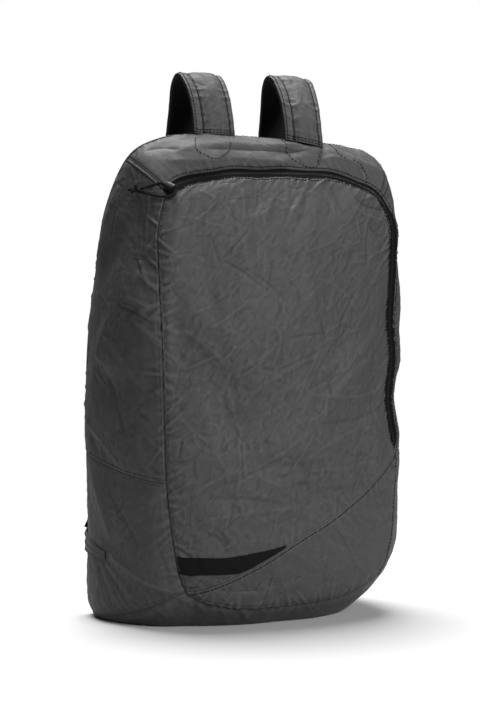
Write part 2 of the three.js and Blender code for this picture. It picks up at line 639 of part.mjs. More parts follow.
// The frame of a strap at a share of its curve: its place, its run, its width and its outer face.
function ribbonFrame(curve, share) {
  const run = curve.getTangent(share);
  const across = along(X_AXIS, run, -X_AXIS.dot(run)).normalize();
  return { point: curve.getPoint(share), run, across, out: across.clone().cross(run) };
}

function ribbon(curve, shares, widthAt, low, high) {
  return sweptSolid(shares.map((share) => {
    const { point, across, out } = ribbonFrame(curve, share);
    const half = widthAt(share) / 2;
    return [[-half, low], [-half, high], [half, high], [half, low]].map(
      ([sideways, above]) => along(along(point, across, sideways), out, above));
  }));
}

// Strap adjusters and their webbing, and the tabs that carry the webbing at the lower corners.
function buckleGeometry() {
  const rectangle = (width, length, middle) => [[-1, -1], [1, -1], [1, 1], [-1, 1]].map(
    ([x, y]) => new THREE.Vector2(x * width / 2, middle + y * length / 2));
  const shape = new THREE.Shape(rectangle(BUCKLE_WIDTH, BUCKLE_LENGTH, 0));
  const slot = (BUCKLE_LENGTH - 3 * BUCKLE_BAR) / 2;
  for (const end of [-1, 1]) {
    const middle = end * (slot + BUCKLE_BAR) / 2;
    shape.holes.push(new THREE.Path(rectangle(BUCKLE_WIDTH - 2 * BUCKLE_BAR, slot, middle).reverse()));
  }
  return welded(new THREE.ExtrudeGeometry(shape, { depth: BUCKLE_THICKNESS, bevelEnabled: false }));
}

// A tab wraps round the back seam. Its two edges are shares up the side at its end on the back
// panel and at its tip on the side. Reach is the end's share of the way across the back.
const TAB = { reach: 0.075, tip: 0.57, backLow: 0.118, backHigh: 0.175, tipLow: 0.098, tipHigh: 0.121 };
const TAB_BACK_STEPS = 3;
const TAB_SIDE_STEPS = 6;
const sideStation = (side, z) => (side < 0 ? leftStation(z) : rightStation(z));

// run goes from -1, the end on the back, through 0 at the seam, to 1 at the tip.
function tabGeometry(side) {
  const height = (run, across) => mix(
    mix(TAB.backLow, TAB.backHigh, across), mix(TAB.tipLow, TAB.tipHigh, across), (run + 1) / 2);
  const acrossBack = (run) => (side < 0 ? -run * TAB.reach : 1 + run * TAB.reach);
  const either = (onBackPanel, onSide) => (run, across) => {
    const z = height(run, across);
    if (run < 0) return onBackPanel(acrossBack(run), z, z);
    return onSide(sideStation(side, z), mix(1, TAB.tip, run));
  };
  const ways = side < 0 ? steps(2) : steps(2).reverse();
  const runs = [...steps(TAB_BACK_STEPS, -1, 0).slice(0, -1), ...steps(TAB_SIDE_STEPS)];
  return clothPanel(
    runs, ways, either(backPoint, wrapPoint), either(onBack, onWrap), [],
    TAB_THICKNESS, TAB_CLEAR + TAB_THICKNESS);
}

for (const [side, word] of [[-1, 'left'], [1, 'right']]) {
  const curve = strapCurve(side);
  const widthAt = (share) => strapWidths.getPoint(share).x;
  const coverLow = STRAP_MESH + SEAM_GAP;
  const shares = steps(STRAP_STEPS);
  add(`strap_mesh_${word}`, ribbon(curve, shares, widthAt, 0, STRAP_MESH), blackMesh);
  add(`strap_cover_${word}`, ribbon(curve, shares, widthAt, coverLow, coverLow + STRAP_COVER), nylon);

  const { point, run, across, out } = ribbonFrame(curve, 1);
  const buckle = add(`strap_buckle_${word}`, buckleGeometry(), blackPlastic);
  buckle.setRotationFromMatrix(new THREE.Matrix4().makeBasis(across, run.clone().negate(), out.clone().negate()));
  const buckleFace = along(along(point, run, BUCKLE_LENGTH / 2 + SEAM_GAP), out, BUCKLE_THICKNESS);
  buckle.position.copy(buckleFace);

  const seatZ = (TAB.backLow + TAB.backHigh) / 2;
  const seatX = side < 0 ? TAB.reach / 2 : 1 - TAB.reach / 2;
  const landing = along(
    backPoint(seatX, seatZ, seatZ), onBack(seatX, seatZ, seatZ), TAB_CLEAR + TAB_THICKNESS + WEBBING_SEAT);
  const threaded = along(buckleFace, out, SEAM_GAP);
  const leaving = along(threaded, run, BUCKLE_LENGTH / 2 + WEBBING_WIDTH / 2);
  const webbing = new THREE.CatmullRomCurve3(
    [threaded, leaving, leaving.clone().lerp(landing, 0.5), landing], false, 'catmullrom', 0.5);
  add(`webbing_${word}`, ribbon(
    webbing, steps(6), () => WEBBING_WIDTH, 0, WEBBING_THICKNESS), blackTape);
  add(`anchor_tab_${word}`, tabGeometry(side), nylon);
}

export default parts;
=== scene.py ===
# %% [markdown]
# # A packable backpack, dressed in Blender
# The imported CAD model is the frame: every panel, strap and zip part of it has its true place and
# size, but its cloth is smooth and coarse. This lesson sews the finer pieces round it: crumpled
# nylon, gathered seams, a zip with real coils, straps with stitched edges, and a cord with its knot.

# %% Load the frame
import math

import bpy
import numpy as np
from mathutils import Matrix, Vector
from mathutils.bvhtree import BVHTree
from mathutils.geometry import delaunay_2d_cdt


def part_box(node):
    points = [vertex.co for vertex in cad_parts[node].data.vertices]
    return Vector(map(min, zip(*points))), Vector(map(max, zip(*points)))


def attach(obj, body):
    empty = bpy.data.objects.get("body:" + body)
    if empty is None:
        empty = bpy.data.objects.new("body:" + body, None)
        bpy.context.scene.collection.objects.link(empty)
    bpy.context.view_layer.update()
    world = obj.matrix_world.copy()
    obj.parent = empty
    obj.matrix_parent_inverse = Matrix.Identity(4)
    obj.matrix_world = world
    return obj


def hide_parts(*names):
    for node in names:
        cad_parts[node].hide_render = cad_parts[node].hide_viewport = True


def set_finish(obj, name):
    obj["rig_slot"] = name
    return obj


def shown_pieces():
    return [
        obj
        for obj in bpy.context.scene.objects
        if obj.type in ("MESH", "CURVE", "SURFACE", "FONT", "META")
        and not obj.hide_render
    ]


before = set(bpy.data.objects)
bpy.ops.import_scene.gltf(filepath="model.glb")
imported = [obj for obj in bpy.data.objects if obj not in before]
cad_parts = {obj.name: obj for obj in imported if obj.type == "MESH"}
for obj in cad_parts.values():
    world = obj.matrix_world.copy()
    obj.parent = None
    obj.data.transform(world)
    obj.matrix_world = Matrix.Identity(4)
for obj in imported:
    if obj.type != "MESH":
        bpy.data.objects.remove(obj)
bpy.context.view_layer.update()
MM = 0.001

# %% [markdown]
# The camera comes first. The real bag was photographed from a little to its left, level with its
# middle, so that upright lines stay upright and the floor shows only as a soft shadow. A long lens
# far away keeps the bag's sides nearly parallel, so its lens and distance are given, not guessed by eye.

# %% Camera
VIEW_AZIMUTH = -27
VIEW_DISTANCE = 1.5
VIEW_HEIGHT = 0.2345
VIEW_ASIDE = -0.013
LENS = 80.8
IMAGE_HEIGHT = 720
HORIZON_DROP = 3

camera_data = bpy.data.cameras.new("camera")
camera_data.lens = LENS
camera_data.sensor_width = 36
camera_data.shift_y = HORIZON_DROP / IMAGE_HEIGHT
camera = bpy.data.objects.new("camera", camera_data)
turn = math.radians(VIEW_AZIMUTH)
camera.location = (
    VIEW_ASIDE + VIEW_DISTANCE * math.sin(turn), -VIEW_DISTANCE * math.cos(turn), VIEW_HEIGHT)
camera.rotation_euler = (math.pi / 2, 0, turn)
bpy.context.scene.collection.objects.link(camera)
bpy.context.scene.camera = camera
print("camera at", [round(value, 3) for value in camera.location])

# %% [markdown]
# A short cord hangs on the zip's slider. A free cord is a curve with a round bevel, since a curve
# keeps its true length and thickness however it bends. Its route is the one that the frame has.

# %% Curves through points
def mix(a, b, share):
    return a + (b - a) * share


def smooth(edge0, edge1, value):
    t = np.clip((value - edge0) / (edge1 - edge0), 0, 1)
    return t * t * (3 - 2 * t)


def unit(vectors):
    return vectors / np.linalg.norm(vectors, axis=-1, keepdims=True)


def bend(before, start, end, after, t):
    """The smooth curve between start and end, at t from 0 to 1."""
    leave, arrive = (end - before) / 2, (after - start) / 2
    return (start + leave * t + (3 * (end - start) - 2 * leave - arrive) * t ** 2
            + (2 * (start - end) + leave + arrive) * t ** 3)


def closed_curve(points, station):
    count = len(points)
    station = np.asarray(station, float) % count
    first = np.floor(station).astype(int)
    near = [points[(first + step) % count] for step in (-1, 0, 1, 2)]
    return bend(*near, (station - first)[..., None])


def open_curve(points, share):
    ends = np.vstack([2 * points[0] - points[1], points, 2 * points[-1] - points[-2]])
    place = np.clip(np.asarray(share, float), 0, 1) * (len(points) - 1)
    first = np.minimum(np.floor(place).astype(int), len(points) - 2)
    near = [ends[first + step] for step in (0, 1, 2, 3)]
    return bend(*near, (place - first)[..., None])


def line_length(points):
    return float(np.linalg.norm(np.diff(points, axis=0), axis=1).sum())


# %% Pull cord
CORD_DIAMETER = 2.6
CORD_ROUTE = np.array([
    (-125.7, -28.0, 388.0), (-122.3, -31.4, 389.2), (-117.0, -34.2, 391.2), (-112.0, -35.8, 392.8),
    (-108.7, -37.9, 392.4), (-106.4, -40.4, 390.7), (-104.3, -43.0, 389.1), (-102.1, -45.7, 387.6),
    (-101.2, -48.2, 385.2), (-102.6, -49.6, 382.2), (-106.4, -48.6, 380.5), (-111.5, -44.8, 380.3),
    (-117.0, -39.4, 381.6), (-121.9, -33.4, 383.7), (-125.7, -28.0, 385.3)])


def tube_curve(name, points, diameter):
    """A round cord through points in mm, as a curve object. Its bevel is in mm too, and the points'
    radius brings it to metres, since a curve's box reaches past its points by their radius."""
    data = bpy.data.curves.new(name, "CURVE")
    data.dimensions = "3D"
    data.bevel_depth = diameter / 2
    data.bevel_resolution = 5
    data.use_fill_caps = True
    spline = data.splines.new("POLY")
    spline.points.add(len(points) - 1)
    for spot, point in zip(spline.points, points):
        spot.co = (*(point * MM), 1)
        spot.radius = MM
    made = bpy.data.objects.new(name, data)
    bpy.context.scene.collection.objects.link(made)
    return made


cord_line = open_curve(CORD_ROUTE, np.linspace(0, 1, 90))
cord = tube_curve("pull_cord_braid", cord_line, CORD_DIAMETER)
cord_length = line_length(cord_line) * MM
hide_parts("pull_cord")
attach(cord, "root")
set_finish(cord, "black_cord")
print("cord", round(cord_length * 1000, 1), "mm long")

# %% [markdown]
# The cord's two ends are tied in one overhand knot. A knot is the same cord wound round itself, so it
# is a tube along a knotted line, a trefoil drawn small, with two short tails. A mesh tube suits it
# better than a curve, as it only has to look wound.

# %% Tubes and other meshes
def mesh_piece(name, vertices, faces, slot):
    """A smooth mesh object from points in mm."""
    data = bpy.data.meshes.new(name)
    data.from_pydata((np.asarray(vertices) * MM).tolist(), [], faces)
    data.validate()
    data.polygons.foreach_set("use_smooth", [True] * len(data.polygons))
    made = bpy.data.objects.new(name, data)
    bpy.context.scene.collection.objects.link(made)
    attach(made, "root")
    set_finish(made, slot)
    return made


def frames_along(line):
    """Two directions square to a line at each of its points, turning as little as they can."""
    run = unit(np.gradient(line, axis=0))
    side = np.zeros_like(run)
    start = np.eye(3)[np.argmin(np.abs(run[0]))]
    side[0] = unit(np.cross(run[0], start))
    for k in range(1, len(line)):
        side[k] = unit(side[k - 1] - run[k] * np.dot(side[k - 1], run[k]))
    return side, np.cross(run, side)


def tube(line, radius, sides=8):
    """Vertices and faces of a round tube with closed ends; radius may change along it."""
    side, up = frames_along(line)
    radii = np.broadcast_to(radius, len(line))
    turns = np.arange(sides) * 2 * np.pi / sides
    ring = (side[:, None] * np.cos(turns)[None, :, None] + up[:, None] * np.sin(turns)[None, :, None])
    vertices = (line[:, None] + ring * radii[:, None, None]).reshape(-1, 3)
    faces = []
    for k in range(len(line) - 1):
        for m in range(sides):
            n = (m + 1) % sides
            faces.append((k * sides + m, k * sides + n, (k + 1) * sides + n, (k + 1) * sides + m))
    faces.append(tuple(reversed(range(sides))))
    last = (len(line) - 1) * sides
    faces.append(tuple(range(last, last + sides)))
    return vertices, faces


def gather(shapes):
    """One list of vertices and faces from several."""
    vertices, faces, base = [], [], 0
    for points, sides in shapes:
        vertices.append(np.asarray(points))
        faces.extend(tuple(corner + base for corner in face) for face in sides)
        base += len(points)
    return np.vstack(vertices), faces


# %% Knot
KNOT_CENTRE = np.array((-128.1, -23.3, 387.6))
KNOT_AXIS = unit(np.array((-0.438, 0.876, 0.219)))
KNOT_FACE = unit(np.array((-0.454, -0.891, 0.0)))
KNOT_REACH = 2.3
KNOT_WIND = 0.62
KNOT_FLATNESS = 1.9
TAIL_LENGTH = 5.0

turn_by = np.linspace(0, 2 * np.pi, 73)
knot_side = unit(np.cross(KNOT_FACE, (0, 0, 1)))
knot_up = np.cross(KNOT_FACE, knot_side)
trefoil = (
    (np.sin(turn_by) + KNOT_WIND * np.sin(2 * turn_by))[:, None] * knot_side * KNOT_REACH
    + (np.cos(turn_by) - KNOT_WIND * np.cos(2 * turn_by))[:, None] * knot_up * KNOT_REACH
    + (-np.sin(3 * turn_by))[:, None] * KNOT_FACE * KNOT_FLATNESS)
knot_parts = [tube(KNOT_CENTRE + trefoil, CORD_DIAMETER / 2 + 0.2, 10)]
for spread in (-1, 1):
    tail = np.linspace(0, 1, 7)[:, None]
    tail_line = (KNOT_CENTRE + KNOT_AXIS * (1.5 + TAIL_LENGTH * tail)
                 + knot_side * spread * (0.8 + 0.9 * tail) - np.array((0, 0, 1.2)) * tail ** 2)
    knot_parts.append(tube(tail_line, CORD_DIAMETER / 2 - 0.1, 10))
knot = mesh_piece("pull_cord_knot", *gather(knot_parts), slot="black_cord")
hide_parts("cord_knot")
print("knot with", len(knot.data.polygons), "faces")

# %% [markdown]
# The bag itself is a shell between two seam loops, one round the front panel and one round the back.
# Its walls are worked out from the same table of stations as the frame's, only on a much finer grid,
# so the cloth meets the seams exactly and can carry every crease.

# %% Seam loops
HEIGHT, FRONT_WIDTH, BACK_WIDTH, DEPTH = 444, 240, 276, 150
FRONT_SWELL, BACK_SWELL = 19, 7
SEAM_GAP, BACK_SEAM_GAP, ZIP_WIDTH = 0.3, 1.0, 13
# Columns: front x, y, z; back x, y, z; swell. X is a share of half a width, Y and swell of the
# depth, Z of the height. One row is one station round both loops.
STATIONS = np.array([
    (-0.783, -0.367, 0.078, -0.950, 0.493, 0.016, 0.155),
    (-0.892, -0.387, 0.169, -0.957, 0.513, 0.176, 0.133),
    (-0.958, -0.400, 0.292, -0.968, 0.520, 0.352, 0.127),
    (-0.975, -0.400, 0.417, -0.975, 0.513, 0.468, 0.127),
    (-0.992, -0.400, 0.561, -0.964, 0.493, 0.599, 0.120),
    (-1.000, -0.367, 0.694, -0.933, 0.440, 0.725, 0.105),
    (-0.975, -0.313, 0.795, -0.928, 0.307, 0.845, 0.080),
    (-0.858, -0.267, 0.869, -0.868, 0.093, 0.945, 0.060),
    (-0.650, -0.253, 0.896, -0.688, 0.013, 0.984, 0.050),
    (-0.375, -0.253, 0.910, -0.420, 0.000, 0.998, 0.060),
    (-0.083, -0.247, 0.916, -0.130, 0.000, 1.000, 0.060),
    (0.208, -0.247, 0.919, 0.174, 0.000, 1.000, 0.060),
    (0.500, -0.253, 0.919, 0.464, 0.000, 0.998, 0.060),
    (0.750, -0.260, 0.905, 0.739, 0.007, 0.993, 0.060),
    (0.933, -0.280, 0.878, 0.957, 0.053, 0.972, 0.065),
    (1.025, -0.320, 0.818, 1.000, 0.267, 0.863, 0.087),
    (0.980, -0.373, 0.723, 1.000, 0.413, 0.739, 0.120),
    (0.942, -0.393, 0.626, 0.993, 0.480, 0.637, 0.137),
    (0.955, -0.400, 0.538, 0.986, 0.507, 0.547, 0.140),
    (0.922, -0.400, 0.446, 0.986, 0.513, 0.453, 0.143),
    (0.985, -0.400, 0.345, 1.000, 0.520, 0.349, 0.147),
    (0.975, -0.400, 0.241, 1.007, 0.513, 0.241, 0.140),
    (0.950, -0.393, 0.151, 1.007, 0.507, 0.131, 0.127),
    (0.850, -0.387, 0.093, 0.942, 0.493, 0.020, 0.073),
    (0.617, -0.420, 0.059, 0.725, 0.513, 0.009, 0.120),
    (0.333, -0.460, 0.046, 0.348, 0.513, 0.009, 0.150),
    (0.000, -0.467, 0.041, 0.000, 0.513, 0.009, 0.150),
    (-0.292, -0.460, 0.039, -0.348, 0.513, 0.009, 0.150),
    (-0.567, -0.420, 0.048, -0.710, 0.513, 0.009, 0.150)])
BOTTOM_LEFT, SIDE_SEAM_LEFT, TOP_LEFT, TOP_RIGHT, ZIP_END, BOTTOM_RIGHT = 0, 2, 7, 14, 20, 23
LAST = len(STATIONS)
FRONT_LOOP = STATIONS[:, 0:3] * (FRONT_WIDTH / 2, DEPTH, HEIGHT)
BACK_LOOP = STATIONS[:, 3:6] * (BACK_WIDTH / 2, DEPTH, HEIGHT)
SWELLS = STATIONS[:, 6:7] * DEPTH
Y_AXIS = np.array((0.0, 1.0, 0.0))
SLOPE_STEP = 0.02
ZIP_OPENS = 0.30
ZIP_SIDE_TURN = 0.5


def tangent(loop, station):
    return unit(closed_curve(loop, station + SLOPE_STEP) - closed_curve(loop, station - SLOPE_STEP))


def seam_normal(loop, station, facing):
    """Between the two faces that meet at a seam. facing is -1 at the front, 1 at the back."""
    sideways = unit(np.cross(tangent(loop, station), Y_AXIS))
    turned = smooth(TOP_RIGHT - 1, TOP_RIGHT + 1, station) * (1 - smooth(ZIP_END, BOTTOM_RIGHT, station))
    if facing < 0:
        sideways = sideways * mix(1, ZIP_SIDE_TURN, turned)[..., None]
    return unit(sideways + facing * Y_AXIS)


def into_panel(loop, station, facing):
    return -facing * unit(np.cross(tangent(loop, station), seam_normal(loop, station, facing)))


def zip_half(station, lap=0.0):
    station = np.asarray(station, float) % LAST
    opening = smooth(TOP_LEFT - ZIP_OPENS, TOP_LEFT + ZIP_OPENS, station)
    closing = 1 - smooth(ZIP_END - ZIP_OPENS, ZIP_END, station)
    return mix(SEAM_GAP, ZIP_WIDTH - 2 * lap, opening * closing)[..., None] / 2


# The cloth's edges lap over the zip's tapes by a few millimetres, more here and less there.
LAP, LAP_WAVE, LAP_RATE, OUTER_TURN = 0.6, 0.8, 4.3, 2.6


def lap(station, turn):
    return LAP + LAP_WAVE * np.sin(LAP_RATE * np.asarray(station, float) + turn)


def panel_edge(station):
    half = zip_half(station, lap(station, 0))
    return closed_curve(FRONT_LOOP, station) + into_panel(FRONT_LOOP, station, -1) * half


def wrap_edge(station):
    half = zip_half(station, lap(station, OUTER_TURN))
    return closed_curve(FRONT_LOOP, station) - into_panel(FRONT_LOOP, station, -1) * half


def back_edge(station):
    return closed_curve(BACK_LOOP, station) + into_panel(BACK_LOOP, station, 1) * BACK_SEAM_GAP


print("front loop", round(line_length(closed_curve(FRONT_LOOP, np.linspace(0, LAST, 400)))), "mm round")

# %% Main folds of the frame
# Columns: from x, from z, to x, to z, width, rise. Places are shares of a panel, width a share of
# the front's width, rise of the depth.
FRONT_FOLDS = (
    (0.16, 0.93, 0.22, 0.66, 0.060, -0.028), (0.28, 0.95, 0.33, 0.74, 0.045, 0.022),
    (0.38, 0.96, 0.40, 0.78, 0.040, -0.022), (0.52, 0.94, 0.56, 0.62, 0.070, 0.026),
    (0.70, 0.95, 0.62, 0.58, 0.060, -0.028), (0.84, 0.93, 0.95, 0.86, 0.050, -0.034),
    (0.82, 0.86, 0.93, 0.74, 0.060, 0.022), (0.06, 0.72, 0.34, 0.52, 0.070, 0.026),
    (0.08, 0.60, 0.30, 0.40, 0.060, -0.024), (0.42, 0.62, 0.72, 0.50, 0.060, 0.020),
    (0.50, 0.48, 0.86, 0.62, 0.070, -0.022), (0.10, 0.36, 0.36, 0.30, 0.060, 0.026),
    (0.16, 0.22, 0.44, 0.34, 0.070, -0.022), (0.40, 0.40, 0.70, 0.30, 0.070, 0.020),
    (0.60, 0.22, 0.92, 0.44, 0.060, 0.018), (0.86, 0.60, 0.92, 0.40, 0.050, -0.020),
    (0.40, 0.05, 0.78, 0.08, 0.060, 0.016))
SIDE_FOLDS = (
    (0.20, 0.90, 0.60, 0.72, 0.070, -0.022), (0.15, 0.70, 0.55, 0.55, 0.080, 0.018),
    (0.20, 0.50, 0.80, 0.42, 0.070, -0.020), (0.10, 0.10, 0.60, 0.22, 0.070, 0.020),
    (0.25, 0.26, 0.70, 0.32, 0.060, -0.016))
TOP_FOLDS = (
    (0.18, 0.45, 0.62, 0.55, 0.040, 0.034), (0.60, 0.55, 0.92, 0.40, 0.045, 0.040),
    (0.52, 0.25, 0.72, 0.75, 0.040, -0.034), (0.08, 0.70, 0.30, 0.72, 0.035, -0.026))
FOLD_MARGIN = 14


def relief(folds, x, z, width, height):
    """How far the folds lift the cloth, nothing at a panel's edges."""
    lift = 0 * x * z
    for from_x, from_z, to_x, to_z, wide, rise in folds:
        run_x, run_z = (to_x - from_x) * width, (to_z - from_z) * height
        off_x, off_z = (x - from_x) * width, (z - from_z) * height
        share = np.clip((off_x * run_x + off_z * run_z) / (run_x ** 2 + run_z ** 2), 0, 1)
        away = np.hypot(off_x - share * run_x, off_z - share * run_z) / (wide * FRONT_WIDTH)
        lift = lift + rise * DEPTH * np.exp(-away ** 2)
    inside = FOLD_MARGIN ** 2 * x * (1 - x) * z * (1 - z)
    return lift * inside / (1 + inside)


# %% The three kinds of wall: front, wrap and back
SWELL_POWER = 2.6


def left_station(z):
    return mix(BOTTOM_LEFT, TOP_LEFT, z)


def right_station(z):
    return mix(BOTTOM_RIGHT, TOP_RIGHT, z)


def top_station(x):
    return mix(TOP_LEFT, TOP_RIGHT, x)


def bottom_station(x):
    return mix(LAST, BOTTOM_RIGHT, x)


def pillow(x, z):
    return np.maximum(16 * x * (1 - x) * z * (1 - z), 0)


def patch(edge, x, left_z, right_z):
    """A patch between the four runs of a seam loop."""
    z = mix(left_z, right_z, x)
    x_, z_ = x[..., None], z[..., None]
    low, high = edge(bottom_station(x)), edge(top_station(x))
    corner = [[edge(np.array(float(s))) for s in pair] for pair in
              ((BOTTOM_LEFT, TOP_LEFT), (BOTTOM_RIGHT, TOP_RIGHT))]
    point = edge(left_station(left_z)) * (1 - x_) + edge(right_station(right_z)) * x_
    point = point + low * (1 - z_) + high * z_
    point = point - (1 - x_) * ((1 - z_) * corner[0][0] + z_ * corner[0][1])
    return point - x_ * ((1 - z_) * corner[1][0] + z_ * corner[1][1])


# The frame's folds are drawn bold, for coarse solids; on the fine cloth they are softer.
FRONT_FOLD_SHARE, SIDE_FOLD_SHARE, TOP_FOLD_SHARE = 0.35, 0.8, 0.3


def front_point(x, z):
    folds = relief(FRONT_FOLDS, x, z, FRONT_WIDTH, HEIGHT)
    lift = FRONT_SWELL * pillow(x, z) ** 0.75 + FRONT_FOLD_SHARE * folds
    return patch(panel_edge, x, z, z) - Y_AXIS * lift[..., None]


def back_point(x, left_z, right_z):
    swell = BACK_SWELL * pillow(x, mix(left_z, right_z, x))
    return patch(back_edge, x, left_z, right_z) + Y_AXIS * swell[..., None]


def wrap_relief(station, depth):
    top = (station > TOP_LEFT) & (station < TOP_RIGHT)
    across = (station - TOP_LEFT) / (TOP_RIGHT - TOP_LEFT)
    lift = np.where(top, TOP_FOLD_SHARE * relief(TOP_FOLDS, across, depth, FRONT_WIDTH, DEPTH / 2), 0)
    for low, high in ((BOTTOM_LEFT, TOP_LEFT), (BOTTOM_RIGHT, TOP_RIGHT)):
        side = (station > min(low, high)) & (station < max(low, high))
        up = (station - low) / (high - low)
        lift = np.where(side, SIDE_FOLD_SHARE * relief(SIDE_FOLDS, depth, up, DEPTH, HEIGHT), lift)
    return lift


def wrap_point(station, depth):
    start, end = wrap_edge(station), closed_curve(BACK_LOOP, station)
    along = unit(tangent(FRONT_LOOP, station) + tangent(BACK_LOOP, station))
    outwards = unit(np.cross(along, end - start))
    shape = 1 - np.abs(2 * depth - 1) ** SWELL_POWER
    swell = closed_curve(SWELLS, station)[..., 0] * shape + wrap_relief(station, depth)
    point = mix(start, end, depth[..., None]) + outwards * swell[..., None]
    point[..., 2] = np.maximum(point[..., 2], 0)
    return point


TIP, SEAM_RISE, SEAM_BEND = 0.006, (BOTTOM_RIGHT - ZIP_END) / (BOTTOM_RIGHT - TOP_RIGHT), 0.92


def rising_seam(x):
    """The height share of the seam that parts the front, from the lower left to the zip's end."""
    return mix(TIP, SEAM_RISE, x ** SEAM_BEND)


print("front middle at", front_point(np.array(0.5), np.array(0.5)).round(1), "mm")

# %% [markdown]
# Thin coated nylon that has been stuffed into its own pocket stays crumpled: it breaks into small
# flat facets between sharp, mostly slanting creases. Noise alone looks like porridge. Random points
# with random heights, joined by flat triangles, break up the way such cloth does, so several sizes of
# those are laid over each other and rounded a little.

# %% Crumples
# How far random points stray from their grid, as a share of its spacing.
JITTER = 0.48


def facets(u, v, spacing, height, angle, stretch, seed):
    """Heights of a field of flat facets at (u, v) in mm. Creases run longer along the angle."""
    draw = np.random.default_rng(seed)
    turned = math.radians(angle)
    a = (u * math.cos(turned) + v * math.sin(turned)) / stretch
    b = v * math.cos(turned) - u * math.sin(turned)
    grid_a = np.arange(a.min() - 2 * spacing, a.max() + 3 * spacing, spacing)
    grid_b = np.arange(b.min() - 2 * spacing, b.max() + 3 * spacing, spacing)
    spots = np.stack(np.meshgrid(grid_a, grid_b, indexing="ij"), -1).reshape(-1, 2)
    spots = spots + draw.uniform(-JITTER, JITTER, spots.shape) * spacing
    tops = draw.normal(0, 1, len(spots)) * height
    joined = delaunay_2d_cdt([Vector(spot) for spot in spots], [], [], 0, 1e-6)
    corners = [(spot.x, spot.y, tops[origin[0]]) for spot, origin in zip(joined[0], joined[3])]
    ground = BVHTree.FromPolygons(corners, [tuple(face) for face in joined[2]])
    down = Vector((0, 0, -1))
    found = [ground.ray_cast(Vector((p, q, 50)), down)[0].z for p, q in zip(a.flat, b.flat)]
    return np.array(found).reshape(a.shape)


def soften(field, times):
    """Rounds a field of heights by mixing each with its neighbours."""
    for _ in range(times):
        for axis in (0, 1):
            edge = np.take(field, [0], axis), np.take(field, [-1], axis)
            wide = np.concatenate([edge[0], field, edge[1]], axis)
            low = np.take(wide, range(0, wide.shape[axis] - 2), axis)
            high = np.take(wide, range(2, wide.shape[axis]), axis)
            field = field / 2 + (low + high) / 4
    return field


def soften_points(points, times):
    return np.stack([soften(points[..., axis], times) for axis in range(3)], -1)


# Gain and reach of the colour that paints crests pale, as wear and as painted highlight, and hollows dark,
# as painted shade.
WEAR_AND_PAINTED_LIGHT_GAIN, WEAR_AND_PAINTED_LIGHT_REACH = 5, 4


def crest_wear_and_painted_light(height):
    """From -1 to 1, how far a height stands above the cloth round it: crests get pale wear and painted
    highlight, hollows painted shade.
    """
    return np.clip((height - soften(height, WEAR_AND_PAINTED_LIGHT_REACH)) * WEAR_AND_PAINTED_LIGHT_GAIN, -1, 1)


# Columns: spacing, height, stretch, rounding. One row is one size of crumple, in mm.
CRUMPLE_SIZES = ((42, 1.7, 1.2, 14), (15, 0.34, 1.25, 1), (8, 0.22, 1.2, 0), (4.5, 0.13, 1.1, 0))
CRUMPLE_LEANS = (0, -70, 25, -30)


def crumple(u, v, amount, angle, seed):
    total = 0 * u
    for k, (spacing, height, stretch, rounds) in enumerate(CRUMPLE_SIZES):
        lean = angle + CRUMPLE_LEANS[k]
        total = total + soften(facets(u, v, spacing, height * amount, lean, stretch, seed + k), rounds)
    return total


# %% [markdown]
# Between the facets run thin sharp creases, where the cloth was pressed flat in its pocket. Each is
# a line with a bow, tapering at both ends, and only a millimetre or so wide. They meet in corners, so
# they follow some of the sides of random triangles. Folds that can be told one from another on the
# real bag are drawn the same way, but each from its own row of a table.

# %% Creases and placed folds
def crease(u, v, start, end, bow, width, rise):
    """One fold from start to end in mm, bowed sideways in its middle."""
    run = np.subtract(end, start)
    length = float(np.hypot(*run))
    run = run / length
    along = (u - start[0]) * run[0] + (v - start[1]) * run[1]
    share = np.clip(along / length, 0, 1)
    away = (v - start[1]) * run[0] - (u - start[0]) * run[1] - 4 * bow * share * (1 - share)
    beyond = along - share * length
    far = np.hypot(away, beyond) / width
    return rise * np.clip(8 * share * (1 - share), 0, 1) * np.exp(-far)


# Columns: spacing of the corners, rise, width, share of the lines that are pressed in, in mm.
CREASE_NETS = ((30, 0.32, 1.2, 0.55), (15, 0.27, 1.0, 0.50), (8, 0.18, 0.8, 0.45))


def crease_net(u, v, amount, seed):
    """Thin creases along the sides of random triangles, so that they meet as pressed folds do."""
    draw = np.random.default_rng(seed)
    total = 0 * u
    for spacing, rise, width, share in CREASE_NETS:
        places = [np.arange(axis.min() - spacing, axis.max() + spacing, spacing) for axis in (u, v)]
        spots = np.stack(np.meshgrid(*places, indexing="ij"), -1).reshape(-1, 2)
        spots = spots + draw.uniform(-JITTER, JITTER, spots.shape) * spacing
        joined = delaunay_2d_cdt([Vector(spot) for spot in spots], [], [], 0, 1e-6)
        corners = np.array([tuple(spot) for spot in joined[0]])
        for first, last in joined[1]:
            start, end = corners[first], corners[last]
            middle, reach = (start + end) / 2, np.abs(end - start) / 2 + 3 * width
            height, bow, kept = draw.normal(0, rise * amount), draw.normal(0, spacing / 30), draw.uniform()
            near = (np.abs(u - middle[0]) < reach[0]) & (np.abs(v - middle[1]) < reach[1])
            if kept < share and near.any():
                total[near] += crease(u[near], v[near], start, end, bow, width, height)
    return total


# %% [markdown]
# Along a sewn seam the thread draws the cloth up. Every centimetre or so a short pucker runs out
# from the stitches, leaning a little, and dies away. Each is one soft ridge with a random place,
# lean and length, added to the crumples. The edge itself is rolled, and topstitched beside the roll.

